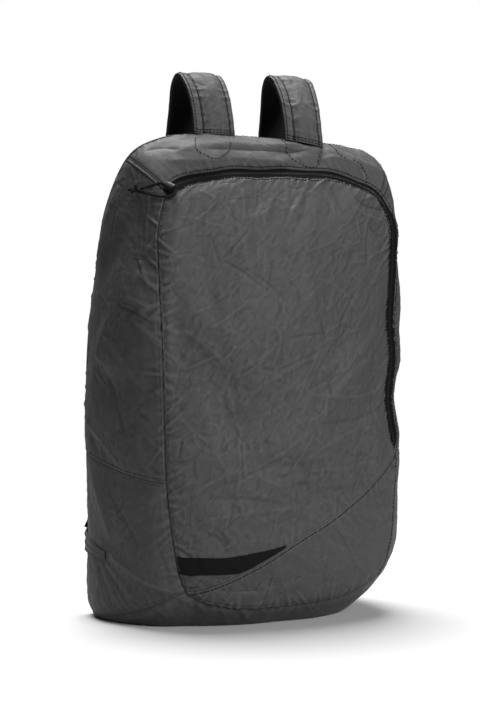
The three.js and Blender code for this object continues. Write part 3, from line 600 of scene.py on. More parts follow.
# %% Puckers
def puckers(run, away, pitch, height, reach, seed):
    """Ridges that leave an edge: run is the distance along it and away the distance from it."""
    draw = np.random.default_rng(seed)
    lift = 0 * run
    count = max(1, int(run.max() / pitch))
    near = np.exp(-away / (3 * reach)) * (1 - np.exp(-away / 1.6))
    for k in range(count):
        place = (k + draw.uniform(0.1, 0.9)) * pitch
        lean, length = draw.normal(0, 0.45), reach * draw.uniform(0.5, 1.5)
        wide, rise = pitch * draw.uniform(0.16, 0.30), height * draw.uniform(0.4, 1.4)
        side = (run - place - lean * away) / (wide * (1 + away / 30))
        lift = lift + rise * np.exp(-side ** 2) * np.exp(-(away / length) ** 1.5)
    return lift * np.minimum(1, near * 3)


PUCKER_PITCH, PUCKER_REACH = 8.0, 11
HEM_RISE, HEM_ROLL, HEM_INSET = 0.6, 0.9, 2.8
GROOVE_DEPTH, GROOVE_WIDTH = 0.35, 0.9


def hem(away):
    """A seam's rolled edge, with the groove that its topstitch presses in."""
    return (HEM_RISE * (1 - np.exp(-away / HEM_ROLL))
            - GROOVE_DEPTH * np.exp(-((away - HEM_INSET) / GROOVE_WIDTH) ** 2))


# %% [markdown]
# Each panel is one grid of points. The distances along its rows and columns tell how far a point
# is from each edge, which is all that the creases need. The cloth gets a thickness, and the grid is
# kept, because stitches and trims are later laid on it.

# %% A panel of cloth
CLOTH = 0.9
# The cloth is calmer near a seam, and busier in some patches than in others.
SEAM_CALM, CALM_REACH, EDGE_FADE = 0.25, 18, 4
BUSY_PATCH, BUSY_SWING, BUSY_ROUNDING, BUSY_LEAST, BUSY_MOST = 45, 0.6, 12, 0.35, 1.8
panels = {}


def surface_normals(points):
    return unit(np.cross(np.gradient(points, axis=0), np.gradient(points, axis=1)))


def lengths(points, axis):
    step = np.linalg.norm(np.diff(points, axis=axis), axis=-1)
    start = np.zeros_like(np.take(step, [0], axis))
    return np.concatenate([start, np.cumsum(step, axis)], axis)


# The inner side of a sheet has one face for every nine outside. Grids have 3n + 1 rows and columns.
INNER_STEP = 3


def sheet_faces(columns, rows):
    """Faces of a fine outer grid and a coarse inner one, joined round their edges."""
    at = np.arange(columns * rows).reshape(columns, rows)
    under = columns * rows + np.arange(at[::INNER_STEP, ::INNER_STEP].size)
    under = under.reshape(at[::INNER_STEP, ::INNER_STEP].shape)

    def quads(a, b, c, d):
        return np.stack([a.ravel(), b.ravel(), c.ravel(), d.ravel()], 1).tolist()

    faces = quads(at[:-1, :-1], at[1:, :-1], at[1:, 1:], at[:-1, 1:])
    faces += quads(under[:-1, :-1], under[:-1, 1:], under[1:, 1:], under[1:, :-1])
    for outer, inner in ((at[:, 0], under[:, 0]), (at[::-1, -1], under[::-1, -1]),
                         (at[0, ::-1], under[0, ::-1]), (at[-1], under[-1])):
        for k in range(len(inner) - 1):
            fine = outer[k * INNER_STEP:(k + 1) * INNER_STEP + 1]
            faces.append([fine[0], inner[k], inner[k + 1], *fine[:0:-1]])
    return [tuple(int(corner) for corner in face) for face in faces]


def sheet_piece(name, outer, normals, thickness, slot, wear_and_painted_light=None):
    inner = (outer - normals * thickness)[::INNER_STEP, ::INNER_STEP]
    vertices = np.vstack([outer.reshape(-1, 3), inner.reshape(-1, 3)])
    made = mesh_piece(name, vertices, sheet_faces(*outer.shape[:2]), slot=slot)
    made.data.set_sharp_from_angle(angle=math.radians(60))
    # This attribute carries painted light for the colour: pale wear and painted highlight on crests, painted
    # shade in hollows.
    if wear_and_painted_light is not None:
        shade = made.data.attributes.new("wear_and_painted_light", "FLOAT", "POINT")
        values = np.concatenate([wear_and_painted_light.ravel(), wear_and_painted_light[::INNER_STEP, ::INNER_STEP].ravel()])
        shade.data.foreach_set("value", values.astype(np.float32))
    return made


def cloth_panel(name, node, base, crumpled, angle, seams, seed, folds=None):
    """A crumpled panel over a smooth grid of points. seams gives a pucker height for each edge."""
    normals = surface_normals(base)
    u, v = lengths(base, 0), lengths(base, 1)
    away = {"first": u, "last": u[-1:] - u, "low": v, "high": v[:, -1:] - v}
    run = {"first": v, "last": v, "low": u, "high": u}
    near = np.minimum.reduce([away[edge] for edge in seams])
    height = crumple(u, v, crumpled, angle, seed) * mix(SEAM_CALM, 1, smooth(0, CALM_REACH, near))
    patches = soften(facets(u, v, BUSY_PATCH, BUSY_SWING, angle, 1.0, seed + 6), BUSY_ROUNDING)
    busy = np.clip(1 + patches, BUSY_LEAST, BUSY_MOST)
    height = height + busy * crease_net(u, v, crumpled, seed + 5)
    if folds is not None:
        height = height + folds
    height = height * smooth(0, EDGE_FADE, near)
    for k, (edge, rise) in enumerate(seams.items()):
        height = height + puckers(run[edge], away[edge], PUCKER_PITCH, rise, PUCKER_REACH, seed + 10 + k)
    height = height + hem(near)
    outer = base + normals * height[..., None]
    outer[..., 2] = np.maximum(outer[..., 2], 0.0)
    # The crumples' crests are painted pale, as wear and as painted highlight, and their hollows get painted
    # shade.
    made = sheet_piece(name, outer, surface_normals(outer), CLOTH, "crinkled_nylon", crest_wear_and_painted_light(height))
    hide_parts(node)
    panels[name] = outer
    print(name, outer.shape[:2], "crumpled by", round(float(height.std()), 2), "mm")
    return made


def grid(columns, rows):
    return np.meshgrid(np.linspace(0, 1, columns), np.linspace(0, 1, rows), indexing="ij")


# %% [markdown]
# The front has its own long folds, where the stuffed bag pulls from the zip and from the side
# seams. They were found on the real bag, and each is a line with a width and a rise. The
# finest lie close under the zip and at the lower seam.

# %% Front panels
# Columns: from x, from z, to x, to z, bow, width, rise. Places are shares of the front, the rest is
# in mm, and a rise below zero is a valley.
FRONT_CREASES = (
    (0.50, 0.92, 0.64, 0.28, 6, 40, 2.6), (0.18, 0.82, 0.28, 0.36, 0, 34, -2.4),
    (0.85, 0.76, 0.88, 0.40, 0, 28, -1.8), (0.585, 0.945, 0.500, 0.800, 4, 3.5, -0.8),
    (0.555, 0.950, 0.465, 0.800, 3, 4.5, 0.6), (0.470, 0.935, 0.410, 0.830, -3, 4.5, 0.9),
    (0.400, 0.950, 0.370, 0.860, 2, 3.0, -0.9), (0.330, 0.950, 0.330, 0.840, 2, 3.0, 0.8),
    (0.275, 0.900, 0.300, 0.800, 3, 3.0, -0.8), (0.230, 0.930, 0.200, 0.820, -2, 4.0, 0.9),
    (0.140, 0.930, 0.100, 0.830, 2, 3.0, -0.8), (0.660, 0.950, 0.680, 0.850, 2, 3.0, 0.8),
    (0.710, 0.970, 0.720, 0.860, -3, 4.0, -0.9), (0.780, 0.935, 0.970, 0.935, -6, 4.0, -1.7),
    (0.760, 0.900, 0.950, 0.890, -5, 5.0, 1.3), (0.840, 0.860, 0.980, 0.840, -4, 4.0, -1.0),
    (1.000, 0.490, 0.560, 0.480, 8, 4.5, 0.9), (0.880, 0.600, 0.580, 0.470, 5, 3.5, -0.8),
    (1.000, 0.455, 0.590, 0.420, 6, 3.5, -0.8), (0.970, 0.550, 0.720, 0.470, 5, 3.5, 0.8),
    (0.120, 0.225, 0.520, 0.250, 3, 6.0, 1.0), (0.140, 0.270, 0.450, 0.260, 4, 4.5, -0.8),
    (0.100, 0.270, 0.280, 0.330, 4, 3.5, 0.8), (0.200, 0.300, 0.420, 0.360, -4, 3.5, -0.7),
    (0.160, 0.200, 0.220, 0.170, 3, 5.0, -1.2), (0.350, 0.670, 0.190, 0.610, 3, 2.6, 0.7),
    (0.300, 0.740, 0.500, 0.660, 4, 3.0, -0.7), (0.080, 0.610, 0.260, 0.530, 3, 3.0, 0.8),
    (0.600, 0.720, 0.800, 0.660, 4, 3.0, 0.7), (0.520, 0.340, 0.780, 0.400, 4, 3.0, 0.7),
    (0.300, 0.450, 0.480, 0.520, 4, 3.0, 0.7))
LOWER_GATHERS = 9


def placed_folds(table, u, v, width, height):
    """Folds of a table, over the shares u and v of a panel that is width by height in mm."""
    lift = 0 * u
    for from_u, from_v, to_u, to_v, bow, wide, rise in table:
        start, end = (from_u * width, from_v * height), (to_u * width, to_v * height)
        lift = lift + crease(u * width, v * height, start, end, bow, wide, rise)
    return lift


def front_folds(x, z):
    lift = placed_folds(FRONT_CREASES, x, z, FRONT_WIDTH, HEIGHT)
    for k in range(LOWER_GATHERS):
        foot = (0.22 + 0.036 * k + 0.010 * math.sin(7 * k)) * FRONT_WIDTH, (0.046 + 0.004 * k) * HEIGHT
        tip = foot[0] + 4 + 4 * math.sin(5 * k), foot[1] + 11 + 5 * math.sin(3 * k)
        lift = lift + crease(x * FRONT_WIDTH, z * HEIGHT, foot, tip, 1.0, 1.6, -0.6 + 0.3 * math.sin(2 * k))
    return lift


x, share = grid(208, 340)
z = mix(rising_seam(x), 1, share)
cloth_panel("front_panel_cloth", "front_panel", front_point(x, z), 1.0, 50,
            {"first": 1.1, "last": 0.8, "low": 0.5, "high": 0.9}, 100, front_folds(x, z))
x, share = grid(208, 100)
z = rising_seam(x) * share
cloth_panel("front_lower_cloth", "front_lower_panel", front_point(x, z), 0.7, 35,
            {"last": 0.6, "low": 1.0, "high": 0.5}, 200, front_folds(x, z))

# %% [markdown]
# Sides, top and bottom wrap from the front seam to the back seam. On the real bag the sides hang
# looser than the front, so their crumples are larger and lie flatter, and the top is drawn taut by
# the straps.

# %% Sides, top and bottom
# Columns as for the front; the shares run along the panel's stations and from front to back.
TOP_CREASES = (
    (0.08, 0.30, 0.30, 0.17, -2, 5, 2.0), (0.30, 0.17, 0.56, 0.10, 1, 5, 1.8),
    (0.70, 0.22, 0.88, 0.26, 3, 6, 2.4), (0.22, 0.40, 0.64, 0.42, -2, 6, -2.6),
    (0.72, 0.65, 0.68, 0.06, 1, 4, -2.4), (0.05, 0.75, 0.16, 0.45, 2, 4, -1.6),
    (0.78, 0.70, 0.95, 0.45, 2, 5, -1.2), (0.40, 0.75, 0.52, 0.45, 2, 3, -0.9))
LOWER_SIDE_CREASES = (
    (0.42, 0.57, 0.02, 0.02, 5, 5, 1.9), (0.36, 0.60, 0.04, 0.30, 4, 2.6, 0.7),
    (0.35, 0.62, 0.03, 0.38, 4, 2.2, -0.6), (0.34, 0.64, 0.02, 0.46, 3, 2.4, 0.6),
    (0.34, 0.67, 0.05, 0.54, 3, 2.2, -0.5), (0.33, 0.72, 0.06, 0.62, 3, 2.6, 0.5),
    (0.95, 0.80, 0.50, 0.50, 6, 7, 1.4), (0.80, 0.45, 0.45, 0.20, 4, 5, -1.0))
SIDE_CREASES = (
    (0.93, 0.20, 0.72, 0.10, 2, 4, 1.1), (0.90, 0.75, 0.60, 0.90, 6, 10, 1.8),
    (0.74, 0.30, 0.60, 0.12, 3, 4, -1.1), (0.70, 0.24, 0.56, 0.05, 3, 3, 1.0),
    (0.53, 0.30, 0.50, 0.03, 2, 4, 1.5), (0.50, 0.34, 0.46, 0.04, 3, 3, -1.1),
    (0.47, 0.22, 0.41, 0.03, 2, 3, 0.9), (0.42, 0.60, 0.26, 0.10, 8, 16, 2.2),
    (0.30, 0.55, 0.10, 0.30, 8, 16, -2.0), (0.12, 0.95, 0.02, 0.35, 4, 5, 1.3))
SIDE_REACH, TOP_REACH, LOWER_SIDE, UPPER_SIDE = 140, 52, 100, 320


def wrap_panel(name, node, stations, rows, crumpled, angle, rise, seed, table=(), tall=1):
    station, depth = np.meshgrid(stations, np.linspace(0, 1, rows), indexing="ij")
    along = (station - stations[0]) / (stations[-1] - stations[0])
    reach = TOP_REACH if table is TOP_CREASES else SIDE_REACH
    seams = {"first": rise * 0.5, "last": rise * 0.5, "low": rise, "high": rise}
    return cloth_panel(name, node, wrap_point(station, depth), crumpled, angle, seams, seed,
                       placed_folds(table, along, depth, tall, reach))


wrap_panel("side_left_lower_cloth", "side_panel_left_lower", np.linspace(BOTTOM_LEFT, SIDE_SEAM_LEFT, 91),
           115, 0.7, 70, 0.7, 300, LOWER_SIDE_CREASES, LOWER_SIDE)
wrap_panel("side_left_cloth", "side_panel_left", np.linspace(SIDE_SEAM_LEFT, TOP_LEFT, 241),
           115, 0.8, 70, 1.1, 400, SIDE_CREASES, UPPER_SIDE)
wrap_panel("top_cloth", "top_panel", np.linspace(TOP_LEFT, TOP_RIGHT, 208),
           61, 0.6, 20, 0.6, 500, TOP_CREASES, FRONT_WIDTH)
wrap_panel("side_right_cloth", "side_panel_right", np.linspace(TOP_RIGHT, ZIP_END, 190),
           94, 0.8, 110, 1.0, 600)
wrap_panel("side_right_lower_cloth", "side_panel_right_lower", np.linspace(ZIP_END, BOTTOM_RIGHT, 91),
           94, 0.7, 110, 0.7, 700)
wrap_panel("bottom_cloth", "bottom_panel", np.linspace(BOTTOM_RIGHT, LAST, 151), 82, 0.5, 20, 0.7, 800)

# %% Back
x, share = grid(106, 166)
cloth_panel("back_cloth", "back_panel", back_point(1 - x, share, share), 0.7, 60,
            {"first": 0.8, "last": 0.8, "low": 0.6, "high": 0.8}, 900)

# %% [markdown]
# Lines on the cloth: a topstitch runs a few millimetres inside a seam. The line is found by walking
# inwards from an edge of the panel's grid. Real stitches are short arched bits of thread, so each one
# is a small tube that dips into the cloth at both ends.

# %% Lines and stitches
def inward(points, edge):
    """The grid turned so that its first axis follows the edge and its second leaves it."""
    turned = {"low": points, "high": points[:, ::-1],
              "first": points.transpose(1, 0, 2), "last": points[::-1].transpose(1, 0, 2)}
    return turned[edge]


def inset_line(points, edge, inset):
    found = []
    for ray in inward(points, edge):
        gone = lengths(ray[None], 1)[0]
        found.append([np.interp(inset, gone, ray[:, axis]) for axis in range(3)])
    return np.array(found)


def line_normals(points, edge, inset):
    """The way out of the cloth along an inset line."""
    ahead = inset_line(points, edge, inset + 3) - inset_line(points, edge, max(inset - 3, 0))
    run = np.gradient(inset_line(points, edge, inset), axis=0)
    flip = {"low": 1, "high": -1, "first": -1, "last": 1}[edge]
    return unit(np.cross(run, ahead)) * flip


def even(line, pitch, *others):
    """Points a pitch apart along a line, with other values taken at the same places."""
    gone = lengths(line[None], 1)[0]
    places = np.arange(pitch / 2, gone[-1], pitch)
    return [np.stack([np.interp(places, gone, field[:, axis]) for axis in range(3)], 1)
            for field in (line, *others)]


STITCH_PITCH, STITCH_LENGTH, THREAD, THREAD_LIFT = 3.4, 2.3, 0.7, 0.2
WIDE_PITCH, SHORT_STITCH, TOP_SEAM_INSET = 3.8, 2.0, 3.2


def stitch_row(line, normals, pitch=STITCH_PITCH, length=STITCH_LENGTH, thread=THREAD):
    spots, ups = even(line, pitch, normals)
    runs = unit(np.gradient(spots, axis=0))
    shapes = []
    for spot, up, run in zip(spots, unit(ups), runs):
        steps = np.linspace(-1, 1, 5)
        rise = THREAD_LIFT + thread * 0.5 * (1 - 1.8 * steps[:, None] ** 2)
        arch = spot + run * steps[:, None] * length / 2 + up * rise
        shapes.append(tube(arch, thread / 2, 5))
    return gather(shapes)


def row_on(panel, edge, inset=HEM_INSET):
    points = panels[panel]
    return stitch_row(inset_line(points, edge, inset), line_normals(points, edge, inset))


def on_grid(points, a, b):
    """Points of a grid at shares a and b of its two axes."""
    i, j = a * (points.shape[0] - 1), b * (points.shape[1] - 1)
    low_i = np.clip(np.floor(i).astype(int), 0, points.shape[0] - 2)
    low_j = np.clip(np.floor(j).astype(int), 0, points.shape[1] - 2)
    s, t = (i - low_i)[..., None], (j - low_j)[..., None]
    near, far = points[low_i, low_j], points[low_i + 1, low_j]
    return mix(mix(near, far, s), mix(points[low_i, low_j + 1], points[low_i + 1, low_j + 1], s), t)


# Rows sewn on the top panel: under each strap, and where its lining is tacked at the right. Each
# point is a station and a share of the way to the back.
TOP_ROWS = (
    ((8.77, 0.77), (8.45, 0.41), (8.56, 0.26), (8.71, 0.18), (8.94, 0.18), (9.29, 0.31), (9.47, 0.51)),
    ((10.98, 0.75), (10.98, 0.48), (10.98, 0.25), (11.21, 0.10), (11.68, 0.07), (11.83, 0.37)),
    ((12.30, 0.80), (12.38, 0.38), (12.64, 0.30)),
    ((12.79, 0.33), (13.14, 0.26), (13.34, 0.14), (13.34, 0.03)))


def rows_on_top():
    top = panels["top_cloth"]
    rows = []
    for row in TOP_ROWS:
        station, depth = open_curve(np.array(row), np.linspace(0, 1, 60)).T
        share = (station - TOP_LEFT) / (TOP_RIGHT - TOP_LEFT)
        normals = on_grid(surface_normals(top), share, depth)
        rows.append(stitch_row(on_grid(top, share, depth), normals, WIDE_PITCH, SHORT_STITCH))
    return rows


# Panels and the edges along which they are topstitched, in dark thread and in thread of their own grey.
DARK_ROWS = (
    ("front_lower_cloth", "high"), ("front_panel_cloth", "high"), ("front_panel_cloth", "last"),
    ("top_cloth", "low"), ("side_right_cloth", "low"), ("front_lower_cloth", "last"),
    ("top_cloth", "first"), ("side_left_cloth", "last"), ("top_cloth", "last"),
    ("side_right_cloth", "first"), ("top_cloth", "high", TOP_SEAM_INSET))
GREY_ROWS = (("front_panel_cloth", "first"), ("front_lower_cloth", "low"), ("side_left_cloth", "first"))
dark_stitches = mesh_piece(
    "seam_stitching", *gather([row_on(*row) for row in DARK_ROWS] + rows_on_top()), slot="black_cord")
grey_stitches = mesh_piece(
    "side_seam_stitching", *gather([row_on(*row) for row in GREY_ROWS]), slot="crinkled_nylon")
print("seam stitches", len(dark_stitches.data.polygons) + len(grey_stitches.data.polygons), "faces")

# %% [markdown]
# The seam round the back is bound: a strip of nylon folded over the raw edges. It is a slim tube
# that follows the back loop.

# %% Binding of the back seam
BINDING = 1.5
loop_line = closed_curve(BACK_LOOP, np.linspace(0.02, LAST - 0.02, 500))
loop_line[:, 2] = np.maximum(loop_line[:, 2], BINDING)
mesh_piece("back_seam_binding", *tube(loop_line, BINDING, 8), slot="crinkled_nylon")

# %% [markdown]
# The zip is a coil zip: two woven tapes, and on the edge of each a nylon thread wound into coils
# that hook into the other side's. The tapes are strips laid along the seam loop, and the coils are
# small bars set close together, each with a slight hump where it hooks.

# %% Zip tapes and coils
TAPE_TOP, TAPE_THICKNESS, COIL_WIDTH, COIL_HEIGHT, COIL_PITCH = -0.8, 1.0, 3.2, 2.0, 1.35
COIL_SINK, COIL_WIRE, COIL_SWING = 0.5, 0.48, 0.25
TAPE_START, COIL_START, ZIP_STOP = TOP_LEFT + 0.02, TOP_LEFT + 0.16, ZIP_END - 0.12
TAPE_ROWS, TAPE_COLUMNS, COIL_SAMPLES, BAR_POINTS = 421, 13, 1400, 7


def zip_point(station, across, above):
    station = np.asarray(station, float)
    point = closed_curve(FRONT_LOOP, station)
    point = point + into_panel(FRONT_LOOP, station, -1) * np.asarray(across)[..., None]
    return point + seam_normal(FRONT_LOOP, station, -1) * np.asarray(above)[..., None]


for side, word in ((1, "inner"), (-1, "outer")):
    stations = np.linspace(TAPE_START, ZIP_STOP, TAPE_ROWS)
    reach = zip_half(stations)[:, 0] + 0.8
    across = np.linspace(0, 1, TAPE_COLUMNS)
    spread = mix(side * (COIL_WIDTH / 2 - 0.4), (side * reach)[:, None], across[None])
    ridge = 0.16 * np.cos(across * 2 * np.pi * 3)[None] * np.ones_like(spread)
    outer = zip_point(np.repeat(stations[:, None], TAPE_COLUMNS, 1), spread, TAPE_TOP + ridge)
    if side < 0:
        outer = outer[:, ::-1]
    tape = sheet_piece(f"zip_tape_{word}_woven", outer, surface_normals(outer), TAPE_THICKNESS, "black_tape")
    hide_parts(f"zip_tape_{word}")

coil_places = np.linspace(COIL_START, ZIP_STOP, COIL_SAMPLES)
coil_gone = lengths(closed_curve(FRONT_LOOP, coil_places)[None], 1)[0]
coil_stations = np.interp(np.arange(0, coil_gone[-1], COIL_PITCH), coil_gone, coil_places)
coil_shapes = []
reach_across = np.linspace(-1, 1, BAR_POINTS)
for k, station in enumerate(coil_stations):
    lead = (-1) ** k
    spread = (reach_across * COIL_WIDTH / 2) + lead * COIL_SWING
    hump = COIL_HEIGHT * 0.32 * (1 - reach_across ** 4) + 0.10 * lead * reach_across - COIL_SINK
    bar = zip_point(np.full(BAR_POINTS, station), spread, hump)
    coil_shapes.append(tube(bar, COIL_WIRE, 6))
coil = mesh_piece("zip_coil_loops", *gather(coil_shapes), slot="black_coil")
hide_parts("zip_coil")
print("coil of", len(coil_stations), "loops")

# %% [markdown]
# Slider and buckles are moulded parts with rounded edges. The frame has their true shapes, with
# sharp edges, so each is copied and its edges are bevelled, which catches the light as real ones do.

# %% Rounded copies of hard parts
WELD_REACH, ROUNDING_STEPS, SHARP_EDGE = 0.00001, 3, 40


def rounded(name, node, width, slot):
    copy = bpy.data.objects.new(name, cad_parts[node].data.copy())
    bpy.context.scene.collection.objects.link(copy)
    weld = copy.modifiers.new("weld", "WELD")
    weld.merge_threshold = WELD_REACH
    edge = copy.modifiers.new("rounding", "BEVEL")
    edge.width = width * MM
    edge.segments = ROUNDING_STEPS
    edge.limit_method = "ANGLE"
    edge.angle_limit = math.radians(SHARP_EDGE)
    copy.data.polygons.foreach_set("use_smooth", [False] * len(copy.data.polygons))
    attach(copy, "root")
    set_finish(copy, slot)
    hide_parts(node)


rounded("zip_slider_cast", "zip_slider", 0.45, "dark_metal")
for word in ("left", "right"):
    rounded(f"strap_buckle_{word}_moulded", f"strap_buckle_{word}", 0.6, "black_plastic")

# %% [markdown]
# The black strip at the lower left is a plain bonded tape, let into the left seam and cut off by
# the rising seam. It lies on the crumpled front, so its points are taken from the front's own grid
# and lifted by its thickness.

# %% Black strip
BAND = np.array([
    (0.006, 0.070, 0.122), (0.100, 0.090, 0.139), (0.200, 0.104, 0.148),
    (0.290, 0.112, 0.157), (0.370, 0.118, 0.165), (0.460, 0.122, 0.174)])
BAND_CLEAR, BAND_PROUD, BAND_THICKNESS = 0.004, 0.9, 0.6

run, across = grid(130, 22)
band_row = open_curve(BAND, run)
band_x = band_row[..., 0]
band_low = np.maximum(band_row[..., 1], rising_seam(band_x) + BAND_CLEAR)
band_z = mix(band_low, band_row[..., 2], across)
band_share = (band_z - rising_seam(band_x)) / (1 - rising_seam(band_x))
band_base = soften_points(on_grid(panels["front_panel_cloth"], band_x, band_share), 3)
band_normals = surface_normals(band_base)
band = sheet_piece(
    "accent_band_strip", band_base + band_normals * BAND_PROUD, band_normals, BAND_THICKNESS, "black_band")
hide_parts("accent_band")

# %% [markdown]
# A shoulder strap is a thin padded ribbon, nylon outside and open mesh inside. Its long edges are
# stitched down, a centimetre in at the left and half of that at the right, which leaves flat hems and
# a slight crown between the stitches. The ribbon is swept along the frame's strap path. Its grid is
# turned round at the end, so that its normals leave the strap's outer face.

# %% Straps
STRAP_WIDTH, STRAP_MESH, STRAP_COVER = 43, 1.8, 1.5
STRAP_SPACING, STRAP_SHIFT, STRAP_FLARE, STRAP_SEAT = 95.5, 7, 30, 0.9
STRAP_ARCH, STRAP_ARCH_UNEVEN = 60, 2.5
# Columns: shift, y, z, arch, width, as shares of the flare, the depth, the height, the arch and the width.
STRAP_PATH = np.array([
    (0.00, 0.006, 1.000, 0.000, 1.00), (0.00, 0.032, 1.000, 0.350, 0.98),
    (0.00, 0.080, 1.000, 0.660, 0.98), (0.00, 0.150, 1.000, 0.890, 1.00),
    (0.00, 0.220, 1.000, 0.985, 1.02), (0.02, 0.275, 1.000, 0.850, 1.02),
    (0.03, 0.300, 1.000, 0.500, 1.02), (0.05, 0.345, 1.000, 0.000, 1.02),
    (0.12, 0.420, 0.900, 0.000, 1.04), (0.25, 0.510, 0.790, 0.000, 1.06),
    (0.45, 0.580, 0.670, 0.000, 1.06), (0.72, 0.600, 0.550, 0.000, 1.00),
    (1.00, 0.600, 0.450, 0.000, 0.82)])
# How far in from its left and right edges a strap is stitched down, and the row along its left edge.
HEMS, EDGE_ROW = (9.5, 5.0), 2.2
HEM_GROOVE, PAD_CROWN, PAD_WIDTH, EDGE_CROWN, EDGE_WIDTH, PADDING = 1.1, 1.7, 9, 0.5, 2.5, 0.4
STRAP_ROWS, STRAP_COLUMNS, LINING_SHARE = 301, 37, 0.985
# Cross rows of the ribbon's grid that are stitched at its base.
BASE_ROWS = (2, 5)
X_AXIS = np.array((1.0, 0.0, 0.0))


def strap_line(side, share):
    shift, y, z, arch, _ = STRAP_PATH.T
    points = np.stack([STRAP_SHIFT + side * (STRAP_SPACING / 2 + shift * STRAP_FLARE),
                       y * DEPTH, z * HEIGHT + arch * (STRAP_ARCH + side * STRAP_ARCH_UNEVEN)], 1)
    points[0, 2] += STRAP_SEAT
    return open_curve(points, share)


def ribbon_frames(line):
    run = unit(np.gradient(line, axis=0))
    across = unit(X_AXIS - run * (run @ X_AXIS)[:, None])
    return across, np.cross(across, run)


def ribbon(line, spread, lift):
    """A grid over a ribbon: spread and lift are in mm, for each point of the grid."""
    across, out = ribbon_frames(line)
    return line[:, None] + across[:, None] * spread[..., None] + out[:, None] * lift[..., None]


# How far a strap's sewn base lies off its path, x, y and z in mm, at its left and right edges. The
# top seam dips under the right strap, which pulls it to the front.
BASE_SHIFTS = {-1: ((0, -3, -2), (-4, -7, -2)), 1: ((-6, -12, -3), (-13, -19, -9))}
BASE_FADE = 75


def base_shift(side, gone, places):
    left, right = (np.array(shift, float) for shift in BASE_SHIFTS[side])
    fade = 1 - smooth(0, BASE_FADE, gone)
    return fade[:, None, None] * mix(left, right, (places[None, :, None] + 1) / 2)


strap_shares = np.linspace(0, 1, STRAP_ROWS)
strap_stitches = []
for side, word in ((-1, "left"), (1, "right")):
    line = strap_line(side, strap_shares)
    gone = lengths(line[None], 1)[0]
    half = open_curve(STRAP_PATH[:, 4:5], strap_shares)[:, 0] * STRAP_WIDTH / 2
    places = np.linspace(-1, 1, STRAP_COLUMNS)
    spread = half[:, None] * places[None]
    from_edge = half[:, None] - np.abs(spread)
    hem_width = np.where(spread < 0, *HEMS)
    groove = np.exp(-((from_edge - hem_width) / HEM_GROOVE) ** 2)
    crown = PAD_CROWN * smooth(hem_width, hem_width + PAD_WIDTH, from_edge)
    crown = crown + EDGE_CROWN * smooth(0, EDGE_WIDTH, from_edge)
    length_way = np.repeat(gone[:, None], STRAP_COLUMNS, 1)
    gathers = puckers(length_way, np.abs(from_edge - hem_width), 7.5, 0.9, 7, 40 + side)
    creases = crumple(length_way, spread + 60, 0.6, 80, 50 + side)
    creases = creases + crease_net(length_way, spread, 0.9, 60 + side)
    creases = creases * smooth(0, 8, from_edge)
    lift = STRAP_MESH + SEAM_GAP + STRAP_COVER + crown - groove + gathers + creases + PADDING
    shift = base_shift(side, gone, places)
    outer = (ribbon(line, spread, lift) + shift)[:, ::-1]
    out = surface_normals(outer)
    # The strap's crowns are painted pale, as wear and as painted highlight, and its grooves and hollows get
    # painted shade.
    cover = sheet_piece(f"strap_{word}_cloth", outer, out, STRAP_COVER + PADDING, "crinkled_nylon",
                        crest_wear_and_painted_light(lift)[:, ::-1])
    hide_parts(f"strap_cover_{word}")
    inside = (ribbon(line, spread * LINING_SHARE, 0 * spread + STRAP_MESH) + shift)[:, ::-1]
    lining = sheet_piece(f"strap_{word}_mesh", inside, surface_normals(inside), STRAP_MESH, "black_mesh")
    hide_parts(f"strap_mesh_{word}")
    for across_share in (1 - EDGE_ROW / 2 / half, 1 - HEMS[0] / 2 / half, HEMS[1] / 2 / half):
        strap_stitches.append(stitch_row(on_grid(outer, strap_shares, across_share),
                                         on_grid(out, strap_shares, across_share)))
    for row in BASE_ROWS:
        strap_stitches.append(stitch_row(outer[row], out[row]))
strap_thread = mesh_piece("strap_stitching", *gather(strap_stitches), slot="black_cord")
print("strap stitches", len(strap_thread.data.polygons), "faces")

# %% [markdown]
# Each strap ends in a ladder buckle, and a webbing runs from it down to a tab round the lower
# corner. The webbing is a flat woven tape with a fine ribbed face. The tab is a folded piece of the
# same nylon that lies on the crumpled cloth, and its tip shows low on the left side.

# %% Webbing and tabs
WEBBING_WIDTH, WEBBING_THICKNESS, WEBBING_SEAT = 20, 1.4, 1.4
WEBBING_RIB, WEBBING_RIBS = 0.12, 6
BUCKLE_LENGTH, BUCKLE_THICKNESS, TAB_THICKNESS, TAB_CLEAR = 24, 3, 1.0, 0.8
TAB_REACH, TAB_TIP = 0.075, 0.57
TAB_BACK_HEIGHTS, TAB_TIP_HEIGHTS = (0.118, 0.175), (0.106, 0.119)
TAB_FOLD, TAB_OVER_SEAM = 0.35, 2.2


def tab_grid(side):
    """The cloth under a tab, and the way out of it, from the back round the edge to the tab's tip."""
    run, across = np.meshgrid(np.linspace(-1, 1, 61), np.linspace(0, 1, 25), indexing="ij")
    z = mix(mix(*TAB_BACK_HEIGHTS, across), mix(*TAB_TIP_HEIGHTS, across), (run + 1) / 2)
    x = np.clip(-run * TAB_REACH if side < 0 else 1 + run * TAB_REACH, 0, 1)
    on_back = on_grid(panels["back_cloth"], 1 - x, z)
    depth = mix(1, TAB_TIP, np.clip(run, 0, 1))
    if side < 0:
        on_side = on_grid(panels["side_left_lower_cloth"], left_station(z) / SIDE_SEAM_LEFT, depth)
    else:
        share = (right_station(z) - ZIP_END) / (BOTTOM_RIGHT - ZIP_END)
        on_side = on_grid(panels["side_right_lower_cloth"], share, depth)
    base = np.where((run < 0)[..., None], on_back, on_side)
    folds = TAB_FOLD * np.cos(across * 5 * np.pi) * smooth(1.0, 0.2, run)
    lift = TAB_THICKNESS + 0.4 + TAB_OVER_SEAM * np.exp(-(run / 0.16) ** 2) + folds
    if side > 0:
        base, lift = base[:, ::-1], lift[:, ::-1]
    base = soften_points(base, 3)
    normals = surface_normals(base)
    return base + normals * lift[..., None], normals


